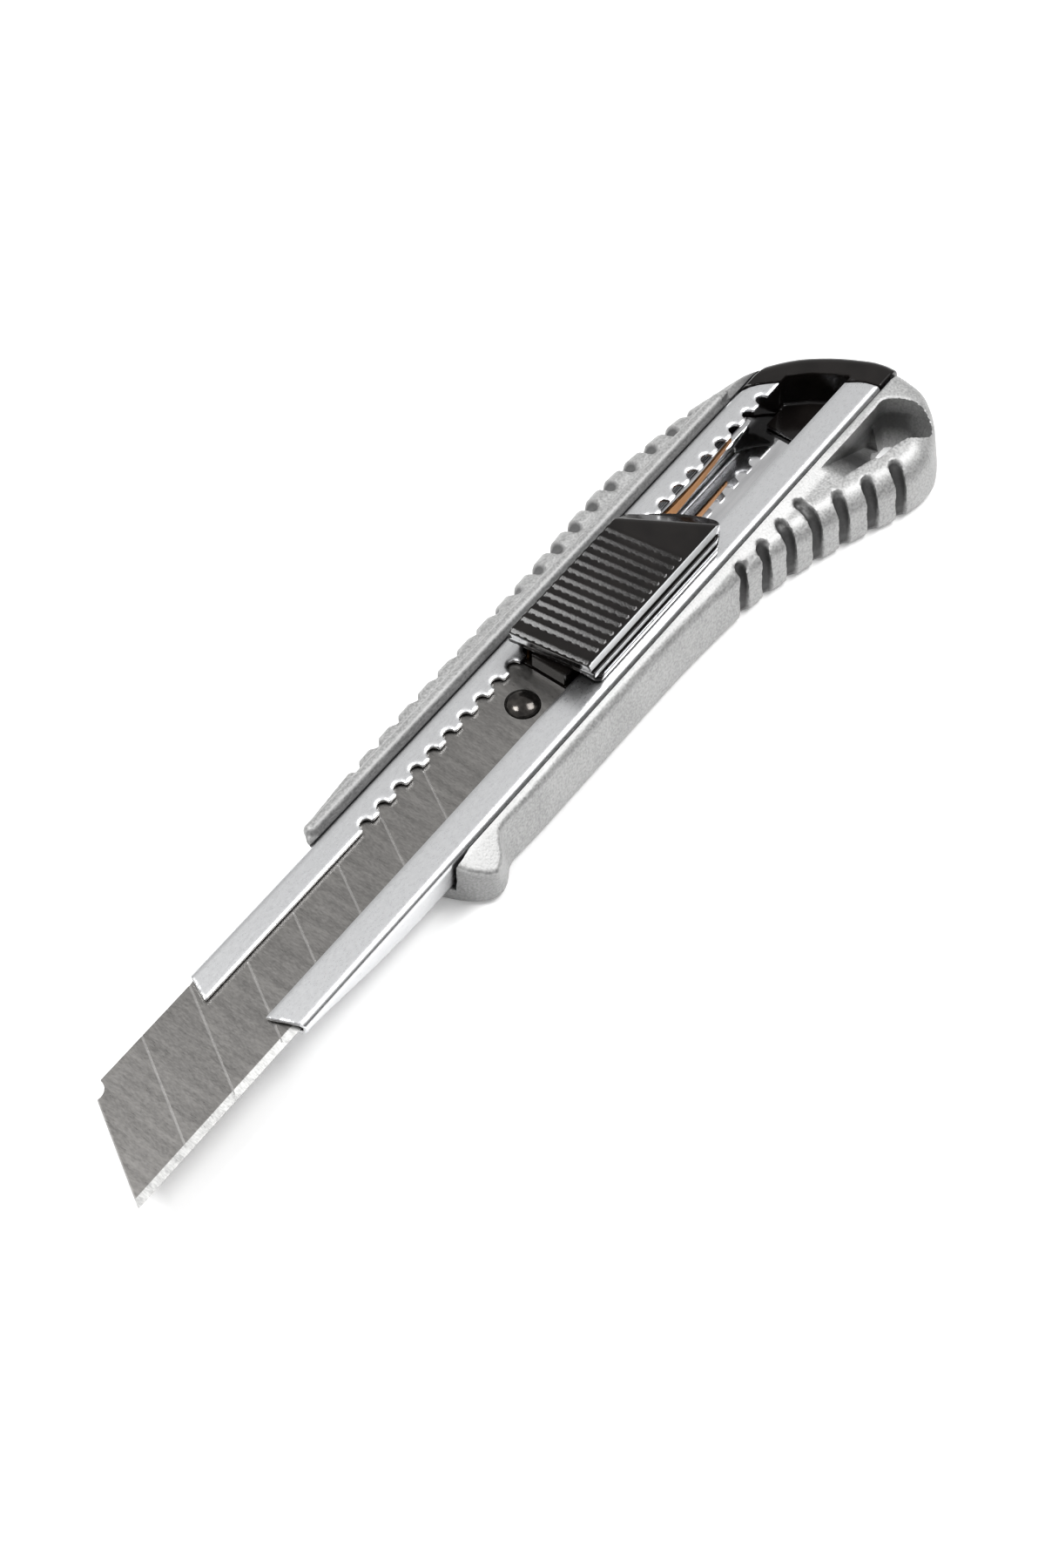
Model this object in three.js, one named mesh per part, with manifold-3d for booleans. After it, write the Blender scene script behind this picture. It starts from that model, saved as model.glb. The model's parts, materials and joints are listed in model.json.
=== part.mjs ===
// Snap-off utility knife: a die-cast handle, a toothed steel channel, a sliding blade carrier with a ribbed
// thumb pad, an 18 mm segmented blade and a plug-in end cap.
//
// Working datum: the blade's point at x = 0 with the blade drawn out as it rests here, the blade's upper
// face at z = 0, the cutting edge towards +y and the spine towards -y. The finished group is shifted at the
// end, so that the knife lies on its flat back with its box centred over the origin.
import * as THREE from "three";
import { mergeVertices } from "three/addons/utils/BufferGeometryUtils.js";
import Module from "manifold-3d";

const wasm = await Module();
wasm.setup();

// ---- driving dimensions, mm ----
const GAP = 0.3; // clearance between pieces that touch

const BLADE_WIDTH = 18;
const BLADE_THICK = 0.5;
const BLADE_LENGTH = 110;
const BLADE_BEVEL = 1.35;
const SEGMENT_PITCH = 10.81;
const SEGMENT_COUNT = 8;
const SCORE_WIDTH = 0.3;
const SCORE_DEPTH = 0.1;
const SCORE_SLOPE = Math.tan(THREE.MathUtils.degToRad(30)); // x drop per mm of width, 60 degree segments
const HOLE_X = -103.45;
const HOLE_RADIUS = 3;
const TIP_BITE_RADIUS = 2.1; // round cut-out that takes off the front segment's spine corner
const STUD_RADIUS = HOLE_RADIUS - 0.25;
const STUD_HEIGHT = 1.2;

const SHEET = 0.7; // channel sheet thickness
const LIP_TOP = 1.1;
const CHANNEL_HALF_WIDTH = 9.95;
const FLOOR_OUTER = -8.2; // outside of the channel floor where it is deepest
const SLOT_SPINE_Y = -5; // toothed lip's inner edge
const SLOT_EDGE_Y = 4.1; // plain lip's inner edge
const TOOTH_PITCH = 4.25;
const TOOTH_COUNT = 27;
const FIRST_NOTCH_X = -69.9;
const NOTCH_RADIUS = 1.2;
const NOTCH_DEPTH = 0.95;
const CHANNEL_RIVETS_X = [-92, -134]; // rivets that hold the channel down in the handle
const RIVET_RADIUS = 1.5;
const RIVET_HEAD_RADIUS = 3;
const RIVET_HEAD_HEIGHT = 1;
const SPRING_RIVET = { x: -123, z: -3, radius: 1, headRadius: 1.9 };
const LEAF_THICK = 0.4;

const BODY_TOP = 0.7;
const BODY_BOTTOM = -9.7;
const SHOULDER_Z = -0.1; // spine side, outside the ridge
const RIDGE_Y = -11.7;
const RIDGE_Z = 0.3;
const RIDGE_FRONT = -64.2;
const RIDGE_REAR = -176;
const RIDGE_RADIUS = 1.3;
const FLUTE_PITCH = 5.35;
const FLUTE_COUNT = 18;
const FIRST_FLUTE_X = -80;
const FLUTE_RADIUS = 1.3;
const GROOVE_PITCH = 5.6;
const GROOVE_RADIUS = 1.15;
const GROOVE_INNER_Y = [11.9, 11.8, 11.8, 11.8, 15.9, 18.2, 20.2]; // where each grip groove starts
const FIRST_GROOVE_X = -148.5;
const GROOVE_LEAN = 2.2; // how far forward a grip groove runs between the top and the side
const GUARD_FOOT_Z = -8.5; // height at which the guard's front face stands on its own outline
const GUARD_LEAN = 0.28; // and how far it comes forward per mm above that
const GUARD_FLANK_Y = 10.5; // where the guard's flank starts at the top
const GUARD_FLANK_SLOPE = 0.63; // and how far it runs outwards per mm below that
const LANYARD_Y = 11.4; // wall of the lanyard hole next to the channel

const CAP_ROUND = 2.5; // rounding of the end cap's outer rim

const SLIDER_BOTTOM = LIP_TOP + GAP;
const PAD_SEAM = 3.6; // parting height between slider base and ribbed pad
const PAD_TOP = 7.9;
const RIB_PITCH = 2.09;
const RIB_COUNT = 12;
const FIRST_RIB_X = -113.6;
const RIB_GROOVE_RADIUS = 0.62;
const RIB_SLANT = THREE.MathUtils.degToRad(8);
const CARRIER_FRONT = -BLADE_LENGTH - GAP;
const CARRIER_REAR = -143;
const CARRIER_HEAD_TOP = 3.3;
const STEM_HALF_WIDTH = 3.4;
const LOCK_NOTCH = 10; // notch that holds the slider's nose at rest, counted from the front

// Reach of the cutting shapes past the knife: behind the heel, ahead of the channel's mouth, out to a side.
const BEHIND = -206;
const AHEAD = -25;
const OUTSIDE = 20;

// ---- materials ----
function finish(color, roughness, metalness) {
  return new THREE.MeshStandardMaterial({ color, roughness, metalness });
}
const castAlloy = finish(0xc4c6c8, 0.55, 0.8);
const sheetSteel = finish(0xb8bac0, 0.28, 1);
const bladeSteel = finish(0x86837f, 0.35, 1);
const blackPlastic = finish(0x232022, 0.45, 0);
const bronze = finish(0xc49a5a, 0.3, 1);
const darkSteel = finish(0x4a4644, 0.2, 1);

// ---- solids ----
function solidOf(geometry) {
  const bare = geometry.clone();
  bare.deleteAttribute("normal");
  bare.deleteAttribute("uv");
  const merged = mergeVertices(bare, 1e-4);
  return new wasm.Manifold(
    new wasm.Mesh({
      numProp: 3,
      vertProperties: new Float32Array(merged.attributes.position.array),
      triVerts: new Uint32Array(merged.index.array),
    }),
  );
}

function geometryOf(solid) {
  const mesh = solid.getMesh();
  const geometry = new THREE.BufferGeometry();
  geometry.setAttribute("position", new THREE.BufferAttribute(mesh.vertProperties, 3));
  geometry.setIndex(new THREE.BufferAttribute(mesh.triVerts, 1));
  geometry.computeVertexNormals();
  return geometry;
}

const vectors = (points) => points.map(([a, b]) => new THREE.Vector2(a, b));
const shapeFrom = (points) => new THREE.Shape(vectors(points));

// Outline in x and y, standing from z0 to z1, with its long edges rounded by `round`.
function plate(shape, z0, z1, round = 0, curveSegments = 8) {
  const geometry = new THREE.ExtrudeGeometry(shape, {
    depth: z1 - z0 - 2 * round,
    bevelEnabled: round > 0,
    bevelThickness: round,
    bevelSize: round,
    bevelOffset: -round,
    bevelSegments: 3,
    curveSegments,
  });
  return solidOf(geometry.translate(0, 0, z0 + round));
}

// Outline in x and z, running from y0 to y1.
function sidePlate(shape, y0, y1, curveSegments = 8) {
  const geometry = new THREE.ExtrudeGeometry(shape, { depth: y1 - y0, bevelEnabled: false, curveSegments });
  return solidOf(geometry.rotateX(Math.PI / 2).translate(0, y1, 0));
}

// Section in y and z, running from x0 to x1.
function sectionBar(shape, x0, x1, curveSegments = 8) {
  const geometry = new THREE.ExtrudeGeometry(shape, { depth: x1 - x0, bevelEnabled: false, curveSegments });
  const turn = new THREE.Matrix4().makeBasis(
    new THREE.Vector3(0, 1, 0),
    new THREE.Vector3(0, 0, 1),
    new THREE.Vector3(1, 0, 0),
  );
  return solidOf(geometry.applyMatrix4(turn).translate(x0, 0, 0));
}

function box(x0, x1, y0, y1, z0, z1) {
  const geometry = new THREE.BoxGeometry(x1 - x0, y1 - y0, z1 - z0);
  return solidOf(geometry.translate((x0 + x1) / 2, (y0 + y1) / 2, (z0 + z1) / 2));
}

function post(x, y, radius, z0, z1, segments = 24) {
  const geometry = new THREE.CylinderGeometry(radius, radius, z1 - z0, segments).rotateX(Math.PI / 2);
  return solidOf(geometry.translate(x, y, (z0 + z1) / 2));
}

// Round-ended rod between two points.
function capsule(from, to, radius) {
  const start = new THREE.Vector3(...from);
  const along = new THREE.Vector3(...to).sub(start);
  const geometry = new THREE.CapsuleGeometry(radius, along.length(), 3, 10);
  const turn = new THREE.Quaternion().setFromUnitVectors(
    new THREE.Vector3(0, 1, 0),
    along.clone().normalize(),
  );
  return solidOf(geometry.applyQuaternion(turn).translate(...start.addScaledVector(along, 0.5).toArray()));
}

// Thin strip standing on edge: a centre line in x and y, thickened and raised from z0 to z1.
function leaf(points, thickness, z0, z1, divisions = 24) {
  const centre = new THREE.SplineCurve(vectors(points));
  const left = [];
  const right = [];
  for (let i = 0; i <= divisions; i += 1) {
    const at = centre.getPoint(i / divisions);
    const tangent = centre.getTangent(i / divisions);
    const normal = new THREE.Vector2(-tangent.y, tangent.x).multiplyScalar(thickness / 2);
    left.push(at.clone().add(normal));
    right.unshift(at.clone().sub(normal));
  }
  return plate(new THREE.Shape([...left, ...right]), z0, z1);
}

// Open line moved in from the handle's outside by inset(point), square to itself.
function insetLine(points, inset) {
  return points.map((p, i) => {
    const before = points[Math.max(i - 1, 0)];
    const after = points[Math.min(i + 1, points.length - 1)];
    const along = after.clone().sub(before).normalize();
    return new THREE.Vector2(p.x + along.y * inset(p), p.y - along.x * inset(p));
  });
}

// Closed solid through outlines of equal count, one at each height from the bottom up.
function loft(heights, outlines) {
  const count = outlines[0].length;
  const positions = outlines.flatMap((ring, level) => ring.flatMap((p) => [p.x, p.y, heights[level]]));
  const index = [];
  for (let level = 1; level < heights.length; level += 1) {
    for (let i = 0; i < count; i += 1) {
      const a = (level - 1) * count + i;
      const b = (level - 1) * count + ((i + 1) % count);
      index.push(b, a, a + count, b, a + count, b + count);
    }
  }
  const cap = (ring, first, facesUp) => {
    for (const [a, b, c] of THREE.ShapeUtils.triangulateShape([...ring], [])) {
      const anticlockwise = ring[b].clone().sub(ring[a]).cross(ring[c].clone().sub(ring[a])) > 0;
      index.push(...(anticlockwise === facesUp ? [a, b, c] : [a, c, b]).map((i) => first + i));
    }
  };
  cap(outlines[0], 0, false);
  cap(outlines[heights.length - 1], (heights.length - 1) * count, true);
  const geometry = new THREE.BufferGeometry();
  geometry.setAttribute("position", new THREE.Float32BufferAttribute(positions, 3));
  geometry.setIndex(index);
  return solidOf(geometry);
}

// y of an outline curve where it passes x.
function yAt(points, x) {
  for (let i = 1; i < points.length; i += 1) {
    const a = points[i - 1];
    const b = points[i];
    if ((a.x - x) * (b.x - x) <= 0 && a.x !== b.x) {
      return a.y + ((b.y - a.y) * (x - a.x)) / (b.x - a.x);
    }
  }
  throw new Error(`the outline doesn't reach x = ${x}`);
}

const smooth = (points, count) => new THREE.SplineCurve(vectors(points)).getPoints(count);

// ---- shared outlines ----
// Rear arc of the handle and of the end cap, from the spine side round to the lanyard end.
const REAR_ARC = [
  [-184.5, -12],
  [-187.2, -10.55],
  [-190.25, -8.6],
  [-193.3, -6.1],
  [-195.8, -3.25],
  [-197.85, -0.4],
  [-199.7, 2.85],
  [-200.9, 5.4],
  [-201.4, 7.8],
];
// Front edge of the channel: the plain lip stops short of the toothed one.
const CHANNEL_MOUTH = [
  [-36.7, CHANNEL_HALF_WIDTH],
  [-34.4, 4.8],
  [-31.1, -5.2],
  [-33.1, -CHANNEL_HALF_WIDTH],
];
// Rear edge of the channel, which the end cap closes.
const CHANNEL_REAR = [
  [-178, -CHANNEL_HALF_WIDTH],
  [-181.8, -8.5],
  [-185, -5.6],
  [-189, -0.5],
  [-192.3, 4],
  [-194.4, 6.8],
  [-195.2, CHANNEL_HALF_WIDTH],
];
// The handle's widest outline, in four runs, clockwise from the mouth's spine corner.
const spineEdge = smooth(
  [
    [-63.6, -13.3],
    [-70, -14],
    [-79, -14.7],
    [-97, -15.8],
    [-117, -16.5],
    [-129.5, -17],
    [-140, -17.7],
    [-149, -18.1],
    [-157, -17.7],
    [-166, -16.75],
    [-173, -15.7],
    [-180, -13.7],
    REAR_ARC[0],
  ],
  30,
);
const rearEdge = smooth(REAR_ARC, 12);
const gripEdge = smooth(
  [
    [-201.4, 7.8],
    [-201.5, 10],
    [-201.25, 12.5],
    [-200.6, 15.6],
    [-199, 18.3],
    [-196.8, 20.8],
    [-194, 23.2],
    [-190, 25.5],
    [-187, 26.1],
    [-184, 25.9],
    [-179.5, 24.7],
    [-173.5, 22.3],
    [-168, 20.2],
    [-162.2, 18.4],
    [-157, 16.9],
    [-151.9, 15.65],
    [-146.6, 14.7],
    [-135.6, 13.9],
    [-125.6, 13.5],
    [-105.6, 13.3],
    [-90, 13.2],
  ],
  60,
);
// Guard: a swept-back front face ahead of a neck.
const guardEdge = smooth(
  [
    [-90, 13.2],
    [-87, 13.1],
    [-84.3, 13],
    [-82.7, 13.6],
    [-81.3, 14.4],
    [-80, 14.65],
    [-78.5, 14.1],
    [-76.5, 12.6],
    [-74.6, 10.3],
    [-73.5, 8],
  ],
  24,
);

// How far the handle's wall stands in from its widest outline at each height: on the grip side it leans in
// towards the top, on the spine side it rolls over into the shoulder, and at the heel it is rounded.
const WALL_LEVELS = [
  { z: BODY_BOTTOM, grip: 2.4, spine: 2.4, heel: 2.4 },
  { z: -9.5, grip: 1.5, spine: 1.5, heel: 1.5 },
  { z: -9, grip: 0.75, spine: 0.75, heel: 0.75 },
  { z: -8.2, grip: 0.2, spine: 0.2, heel: 0.2 },
  { z: -7.3, grip: 0, spine: 0, heel: 0 },
  { z: -6, grip: 0.2, spine: 0, heel: 0 },
  { z: -4.5, grip: 0.7, spine: 0, heel: 0 },
  { z: -3.3, grip: 1.05, spine: 0, heel: 0 },
  { z: -2.2, grip: 1.35, spine: 0.2, heel: 0 },
  { z: -1.2, grip: 1.6, spine: 0.8, heel: 0.1 },
  { z: -0.5, grip: 1.75, spine: 1.65, heel: 0.35 },
  { z: SHOULDER_Z, grip: 1.85, spine: 3.2, heel: 0.65 },
  { z: 0.3, grip: 2.05, spine: 3.2, heel: 1.15 },
  { z: 0.6, grip: 2.4, spine: 3.2, heel: 1.8 },
  { z: BODY_TOP, grip: 2.8, spine: 3.2, heel: 2.5 },
];

// ---- handle ----
// The handle's outline at one height.
function bodyOutline({ z, grip, spine, heel }) {
  const ramp = (x, from, to) => THREE.MathUtils.clamp((x - from) / (to - from), 0, 1);
  const spineSide = insetLine(spineEdge, (p) => {
    const roll = Math.min(0.15 + 0.85 * ramp(p.x, -63, -115), 1);
    return spine * roll * (1 - ramp(p.x, -176, -184.5)) + heel * ramp(p.x, -176, -184.5);
  });
  const rearSide = insetLine(rearEdge, () => heel);
  const gripSide = insetLine(gripEdge, (p) => {
    const atHeel = ramp(p.x, -178, -194);
    return grip * (1 - atHeel) + heel * atHeel;
  });
  const guardSide = insetLine(guardEdge, (p) => grip * ramp(p.x, -83.5, -89)).map((p) => {
    const lean = GUARD_LEAN * (z - GUARD_FOOT_Z) * ramp(p.x, -82, -77);
    const flank = GUARD_FLANK_Y + GUARD_FLANK_SLOPE * (BODY_TOP - z);
    return new THREE.Vector2(p.x + lean, Math.min(p.y, flank));
  });
  const mouthCorner = new THREE.Vector2(-61.4, -10.2);
  return [mouthCorner, ...spineSide, ...rearSide.slice(1), ...gripSide.slice(1), ...guardSide.slice(1)];
}

function handleBody() {
  let body = loft(WALL_LEVELS.map(({ z }) => z), WALL_LEVELS.map(bodyOutline));

  // The spine side steps down outside a rounded ridge that follows the channel.
  body = body.subtract(box(RIDGE_REAR - 2, AHEAD, -OUTSIDE, RIDGE_Y, SHOULDER_Z, BODY_TOP + 1));
  body = body.add(capsule([RIDGE_FRONT, RIDGE_Y, RIDGE_Z], [RIDGE_REAR, RIDGE_Y, RIDGE_Z], RIDGE_RADIUS));

  // Trough for the channel, open at both ends and upwards; its floor rises with the channel's underside.
  const trough = shapeFrom([
    ...CHANNEL_UNDERSIDE.map(([x, z]) => [x, z - GAP]),
    [BEHIND, FLOOR_OUTER - GAP],
    [BEHIND, BODY_TOP + 1],
    [AHEAD, BODY_TOP + 1],
  ]);
  body = body.subtract(sidePlate(trough, -CHANNEL_HALF_WIDTH - GAP, CHANNEL_HALF_WIDTH));

  for (let i = 0; i < FLUTE_COUNT; i += 1) {
    const x = FIRST_FLUTE_X - i * FLUTE_PITCH;
    const y = yAt(spineEdge, x) - FLUTE_RADIUS * 0.45;
    body = body.subtract(post(x, y, FLUTE_RADIUS, BODY_BOTTOM - 1, 1, 12));
  }
  GROOVE_INNER_Y.forEach((innerY, i) => {
    const x = FIRST_GROOVE_X - i * GROOVE_PITCH;
    const sideX = x + GROOVE_LEAN;
    const sideY = yAt(gripEdge, sideX) + 0.1;
    const crown = [x + 1.4, sideY - 1.1, BODY_TOP - 0.4];
    const shoulder = [sideX, sideY, -2.5];
    const foot = [sideX, sideY, BODY_BOTTOM - 2.3];
    body = body.subtract(capsule([x, innerY + 0.8, BODY_TOP + 0.2], crown, GROOVE_RADIUS));
    body = body.subtract(capsule(crown, shoulder, GROOVE_RADIUS));
    body = body.subtract(capsule(shoulder, foot, GROOVE_RADIUS));
  });

  body = body.subtract(lanyardHole());
  for (const x of CHANNEL_RIVETS_X) {
    body = body.subtract(post(x, 0, RIVET_RADIUS + GAP, BODY_BOTTOM - 1, 0));
  }
  return body;
}

// Rounded hole right through the heel, with a tapering groove that leads a cord into it.
function lanyardHole() {
  const hole = new THREE.Shape();
  hole.moveTo(-189.6, LANYARD_Y);
  hole.lineTo(-193, LANYARD_Y);
  hole.bezierCurveTo(-195.6, 12.4, -197, 15.8, -196.1, 18);
  hole.bezierCurveTo(-195, 21.6, -191.8, 23, -189.6, 20.4);
  hole.bezierCurveTo(-188, 19.2, -184, 18.2, -182, 17.7);
  hole.closePath();
  const groove = shapeFrom([
    [-173.4, LANYARD_Y],
    [-190, LANYARD_Y],
    [-190, 17.7],
    [-182, 17.7],
    [-173.4, 15.2],
  ]);
  const ramp = shapeFrom([
    [-173.2, BODY_TOP + 0.2],
    [-190, BODY_TOP + 0.2],
    [-190, -7],
  ]);
  const cordGroove = plate(groove, -9, 2).intersect(sidePlate(ramp, 10, 20));
  return plate(hole, BODY_BOTTOM - 1, 2).add(cordGroove);
}

// ---- channel ----
// The channel's underside rises towards the mouth.
const CHANNEL_UNDERSIDE = [
  [AHEAD, -1.3],
  [-45, -1.45],
  [-52, -2],
  [-57.5, -3.1],
  [-63, -4.3],
  [-70, -5.7],
  [-78, -7.4],
  [-84, FLOOR_OUTER],
];

function bladeChannel() {
  const raised = (lift, top) =>
    shapeFrom([
      ...CHANNEL_UNDERSIDE.map(([x, z]) => [x, z + lift]),
      [BEHIND, FLOOR_OUTER + lift],
      [BEHIND, top],
      [AHEAD, top],
    ]);
  const inner = CHANNEL_HALF_WIDTH - SHEET;
  const outside = sidePlate(raised(0, LIP_TOP), -CHANNEL_HALF_WIDTH, CHANNEL_HALF_WIDTH);
  const inside = sidePlate(raised(SHEET, LIP_TOP - SHEET), -inner, inner);
  const ends = new THREE.Shape([...vectors(CHANNEL_MOUTH), ...smooth(CHANNEL_REAR, 12)]);
  let channel = outside.subtract(inside).intersect(plate(ends, BODY_BOTTOM, LIP_TOP + 1));
  channel = channel.subtract(plate(toothedSlot(), 0, LIP_TOP + 1, 0, 3)).subtract(springRivetHole());
  for (const x of CHANNEL_RIVETS_X) {
    channel = channel.subtract(post(x, 0, RIVET_RADIUS + GAP, BODY_BOTTOM, FLOOR_OUTER + 2 * SHEET));
  }
  return channel;
}

// Slot between the two lips; its spine side carries the round locking notches.
function toothedSlot() {
  const slot = new THREE.Shape();
  const halfMouth = Math.sqrt(NOTCH_RADIUS ** 2 - (NOTCH_RADIUS - NOTCH_DEPTH) ** 2);
  const centreY = SLOT_SPINE_Y + NOTCH_RADIUS - NOTCH_DEPTH;
  const from = Math.atan2(SLOT_SPINE_Y - centreY, halfMouth);
  slot.moveTo(BEHIND, SLOT_EDGE_Y);
  slot.lineTo(AHEAD, SLOT_EDGE_Y);
  slot.lineTo(AHEAD, SLOT_SPINE_Y);
  for (let i = 0; i < TOOTH_COUNT; i += 1) {
    const x = FIRST_NOTCH_X - i * TOOTH_PITCH;
    slot.lineTo(x + halfMouth, SLOT_SPINE_Y);
    slot.absarc(x, centreY, NOTCH_RADIUS, from, Math.PI - from - 2 * Math.PI, true);
  }
  slot.lineTo(BEHIND, SLOT_SPINE_Y);
  slot.closePath();
  return slot;
}

// Domed rivet; its shank ends just inside the handle's back.
function channelRivet(x) {
  const foot = BODY_BOTTOM + 0.05;
  const headZ = FLOOR_OUTER + SHEET + GAP;
  const profile = vectors([
    [0, foot],
    [RIVET_RADIUS, foot],
    [RIVET_RADIUS, headZ],
    [RIVET_HEAD_RADIUS, headZ],
    [RIVET_HEAD_RADIUS - 0.3, headZ + RIVET_HEAD_HEIGHT * 0.5],
    [RIVET_HEAD_RADIUS * 0.47, headZ + RIVET_HEAD_HEIGHT * 0.9],
    [0, headZ + RIVET_HEAD_HEIGHT],
  ]);
  return solidOf(new THREE.LatheGeometry(profile, 24).rotateX(Math.PI / 2).translate(x, 0, 0));
}

// Bronze leaf standing on edge along the spine wall; it takes up the slider's side play.
function sideSpring() {
  const top = -1.3;
  const bottom = -4.7;
  const centre = [
    [-119, -8.75],
    [-129, -8.75],
    [-140, -6.6],
    [-150, -5.2],
    [-160, -5.1],
    [-171.5, -5.7],
  ];
  const side = shapeFrom([
    [-118, top],
    [-118, bottom],
    [-149, bottom],
    [-172.5, -2.2],
    [-172.5, top],
  ]);
  const strip = leaf(centre, LEAF_THICK, bottom - 0.1, top);
  return strip.intersect(sidePlate(side, -CHANNEL_HALF_WIDTH, 0)).subtract(springRivetHole());
}

// Hole for the leaf's rivet, through the leaf's root and the channel's spine wall.
function springRivetHole() {
  const { x, z, radius } = SPRING_RIVET;
  return capsule([x, -12, z], [x, -7, z], radius + GAP);
}

function springRivet() {
  const { x, z, radius, headRadius } = SPRING_RIVET;
  const footY = -CHANNEL_HALF_WIDTH + 0.1;
  const headY = -8.25;
  const profile = vectors([
    [0, footY],
    [radius, footY],
    [radius, headY],
    [headRadius, headY],
    [headRadius - GAP, headY + 0.55],
    [0, headY + 0.75],
  ]);
  return solidOf(new THREE.LatheGeometry(profile, 20).translate(x, 0, z));
}

// ---- blade ----
function snapBlade() {
  const half = BLADE_WIDTH / 2;
  const spineTipX = -BLADE_WIDTH * SCORE_SLOPE;
  const outline = shapeFrom([
    [0, half],
    [-BLADE_LENGTH, half],
    [-BLADE_LENGTH, -half],
    [spineTipX, -half],
  ]);
  const bevelY = half - BLADE_BEVEL;
  const edgeHalf = 0.04; // the cutting edge keeps this much thickness each way
  const section = shapeFrom([
    [-half, 0],
    [-half, -BLADE_THICK],
    [bevelY, -BLADE_THICK],
    [half, -BLADE_THICK / 2 - edgeHalf],
    [half, -BLADE_THICK / 2 + edgeHalf],
    [bevelY, 0],
  ]);
  let blade = plate(outline, -2, 2).intersect(sectionBar(section, -BLADE_LENGTH - 5, 5));
  blade = blade.subtract(post(spineTipX + 0.4, -half - 0.2, TIP_BITE_RADIUS, -2, 2, 24));
  blade = blade.subtract(post(HOLE_X, 0, HOLE_RADIUS, -2, 2, 32));

  // Score lines on the upper face, between the segments.
  const overrun = 1;
  const drop = (BLADE_WIDTH + 2 * overrun) * SCORE_SLOPE;
  for (let i = 1; i < SEGMENT_COUNT; i += 1) {
    const front = -i * SEGMENT_PITCH + overrun * SCORE_SLOPE + SCORE_WIDTH / 2;
    const back = front - SCORE_WIDTH;
    const line = shapeFrom([
      [front, half + overrun],
      [back, half + overrun],
      [back - drop, -half - overrun],
      [front - drop, -half - overrun],
    ]);
    blade = blade.subtract(plate(line, -SCORE_DEPTH, 1));
  }
  return blade;
}

// Dark domed stud that the blade's hole drops over.
function bladeStud() {
  const steps = 8;
  const rimZ = -0.15;
  const profile = vectors([
    [0, -BLADE_THICK],
    [STUD_RADIUS, -BLADE_THICK],
  ]);
  for (let i = 0; i < steps; i += 1) {
    const angle = (i / steps) * (Math.PI / 2);
    const z = rimZ + (STUD_HEIGHT - rimZ) * Math.sin(angle);
    profile.push(new THREE.Vector2(STUD_RADIUS * Math.cos(angle), z));
  }
  profile.push(new THREE.Vector2(0, STUD_HEIGHT));
  return solidOf(new THREE.LatheGeometry(profile, 32).rotateX(Math.PI / 2).translate(HOLE_X, 0, 0));
}

// ---- slider ----
// Tongue under the blade, wings under the lips, keel in the channel and a stem up through the slot.
function bladeCarrier() {
  const underBlade = -BLADE_THICK - GAP;
  const bar = (x0, x1, halfWidth, z0, z1) => box(x0, x1, -halfWidth, halfWidth, z0, z1);
  const wings = bar(CARRIER_REAR, CARRIER_FRONT, 8.9, underBlade - 0.05, 0.05);
  const keel = bar(CARRIER_REAR, CARRIER_FRONT, 4.2, -3.9, underBlade);
  const tongue = bar(CARRIER_FRONT - 1, HOLE_X, 4.6, -1.9, underBlade);
  const tongueTip = post(HOLE_X, 0, 3.65, -1.9, underBlade);
  const stem = bar(CARRIER_REAR, CARRIER_FRONT, STEM_HALF_WIDTH, 0, LIP_TOP);
  const head = bar(CARRIER_FRONT - 2.5, CARRIER_FRONT, STEM_HALF_WIDTH, 0, CARRIER_HEAD_TOP);
  return wings.add(keel).add(tongue).add(tongueTip).add(stem).add(head);
}

// Spring strip whose nose drops into a notch of the toothed lip.
function lockSpring() {
  const noseX = FIRST_NOTCH_X - LOCK_NOTCH * TOOTH_PITCH;
  const centre = [
    [noseX - 16, -4.25],
    [noseX - 8, -4.3],
    [noseX - 2.2, -4.4],
    [noseX - 0.6, -5.1],
    [noseX, -5.4],
    [noseX + 0.6, -5.1],
    [noseX + 1.5, -4.5],
  ];
  return leaf(centre, LEAF_THICK - 0.04, GAP, LIP_TOP, 30);
}

// Rear edge of the slider, from the spine side round to the cutting-edge side.
const SLIDER_REAR = [
  [-142.6, -8.1],
  [-146.6, -4.2],
  [-149.4, 0],
  [-151, 3.9],
  [-149.9, 6.4],
  [-146.8, 8.1],
];

// Lower plate of the slider, lying over both lips.
function sliderBase() {
  const front = vectors([
    [-113.9, 8.1],
    [-113.2, 7.3],
    [-112.9, -7.3],
    [-113.5, -8.1],
  ]);
  const plan = new THREE.Shape([...front, ...smooth(SLIDER_REAR, 12)]);
  return plate(plan, SLIDER_BOTTOM, PAD_SEAM - GAP / 2);
}

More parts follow.
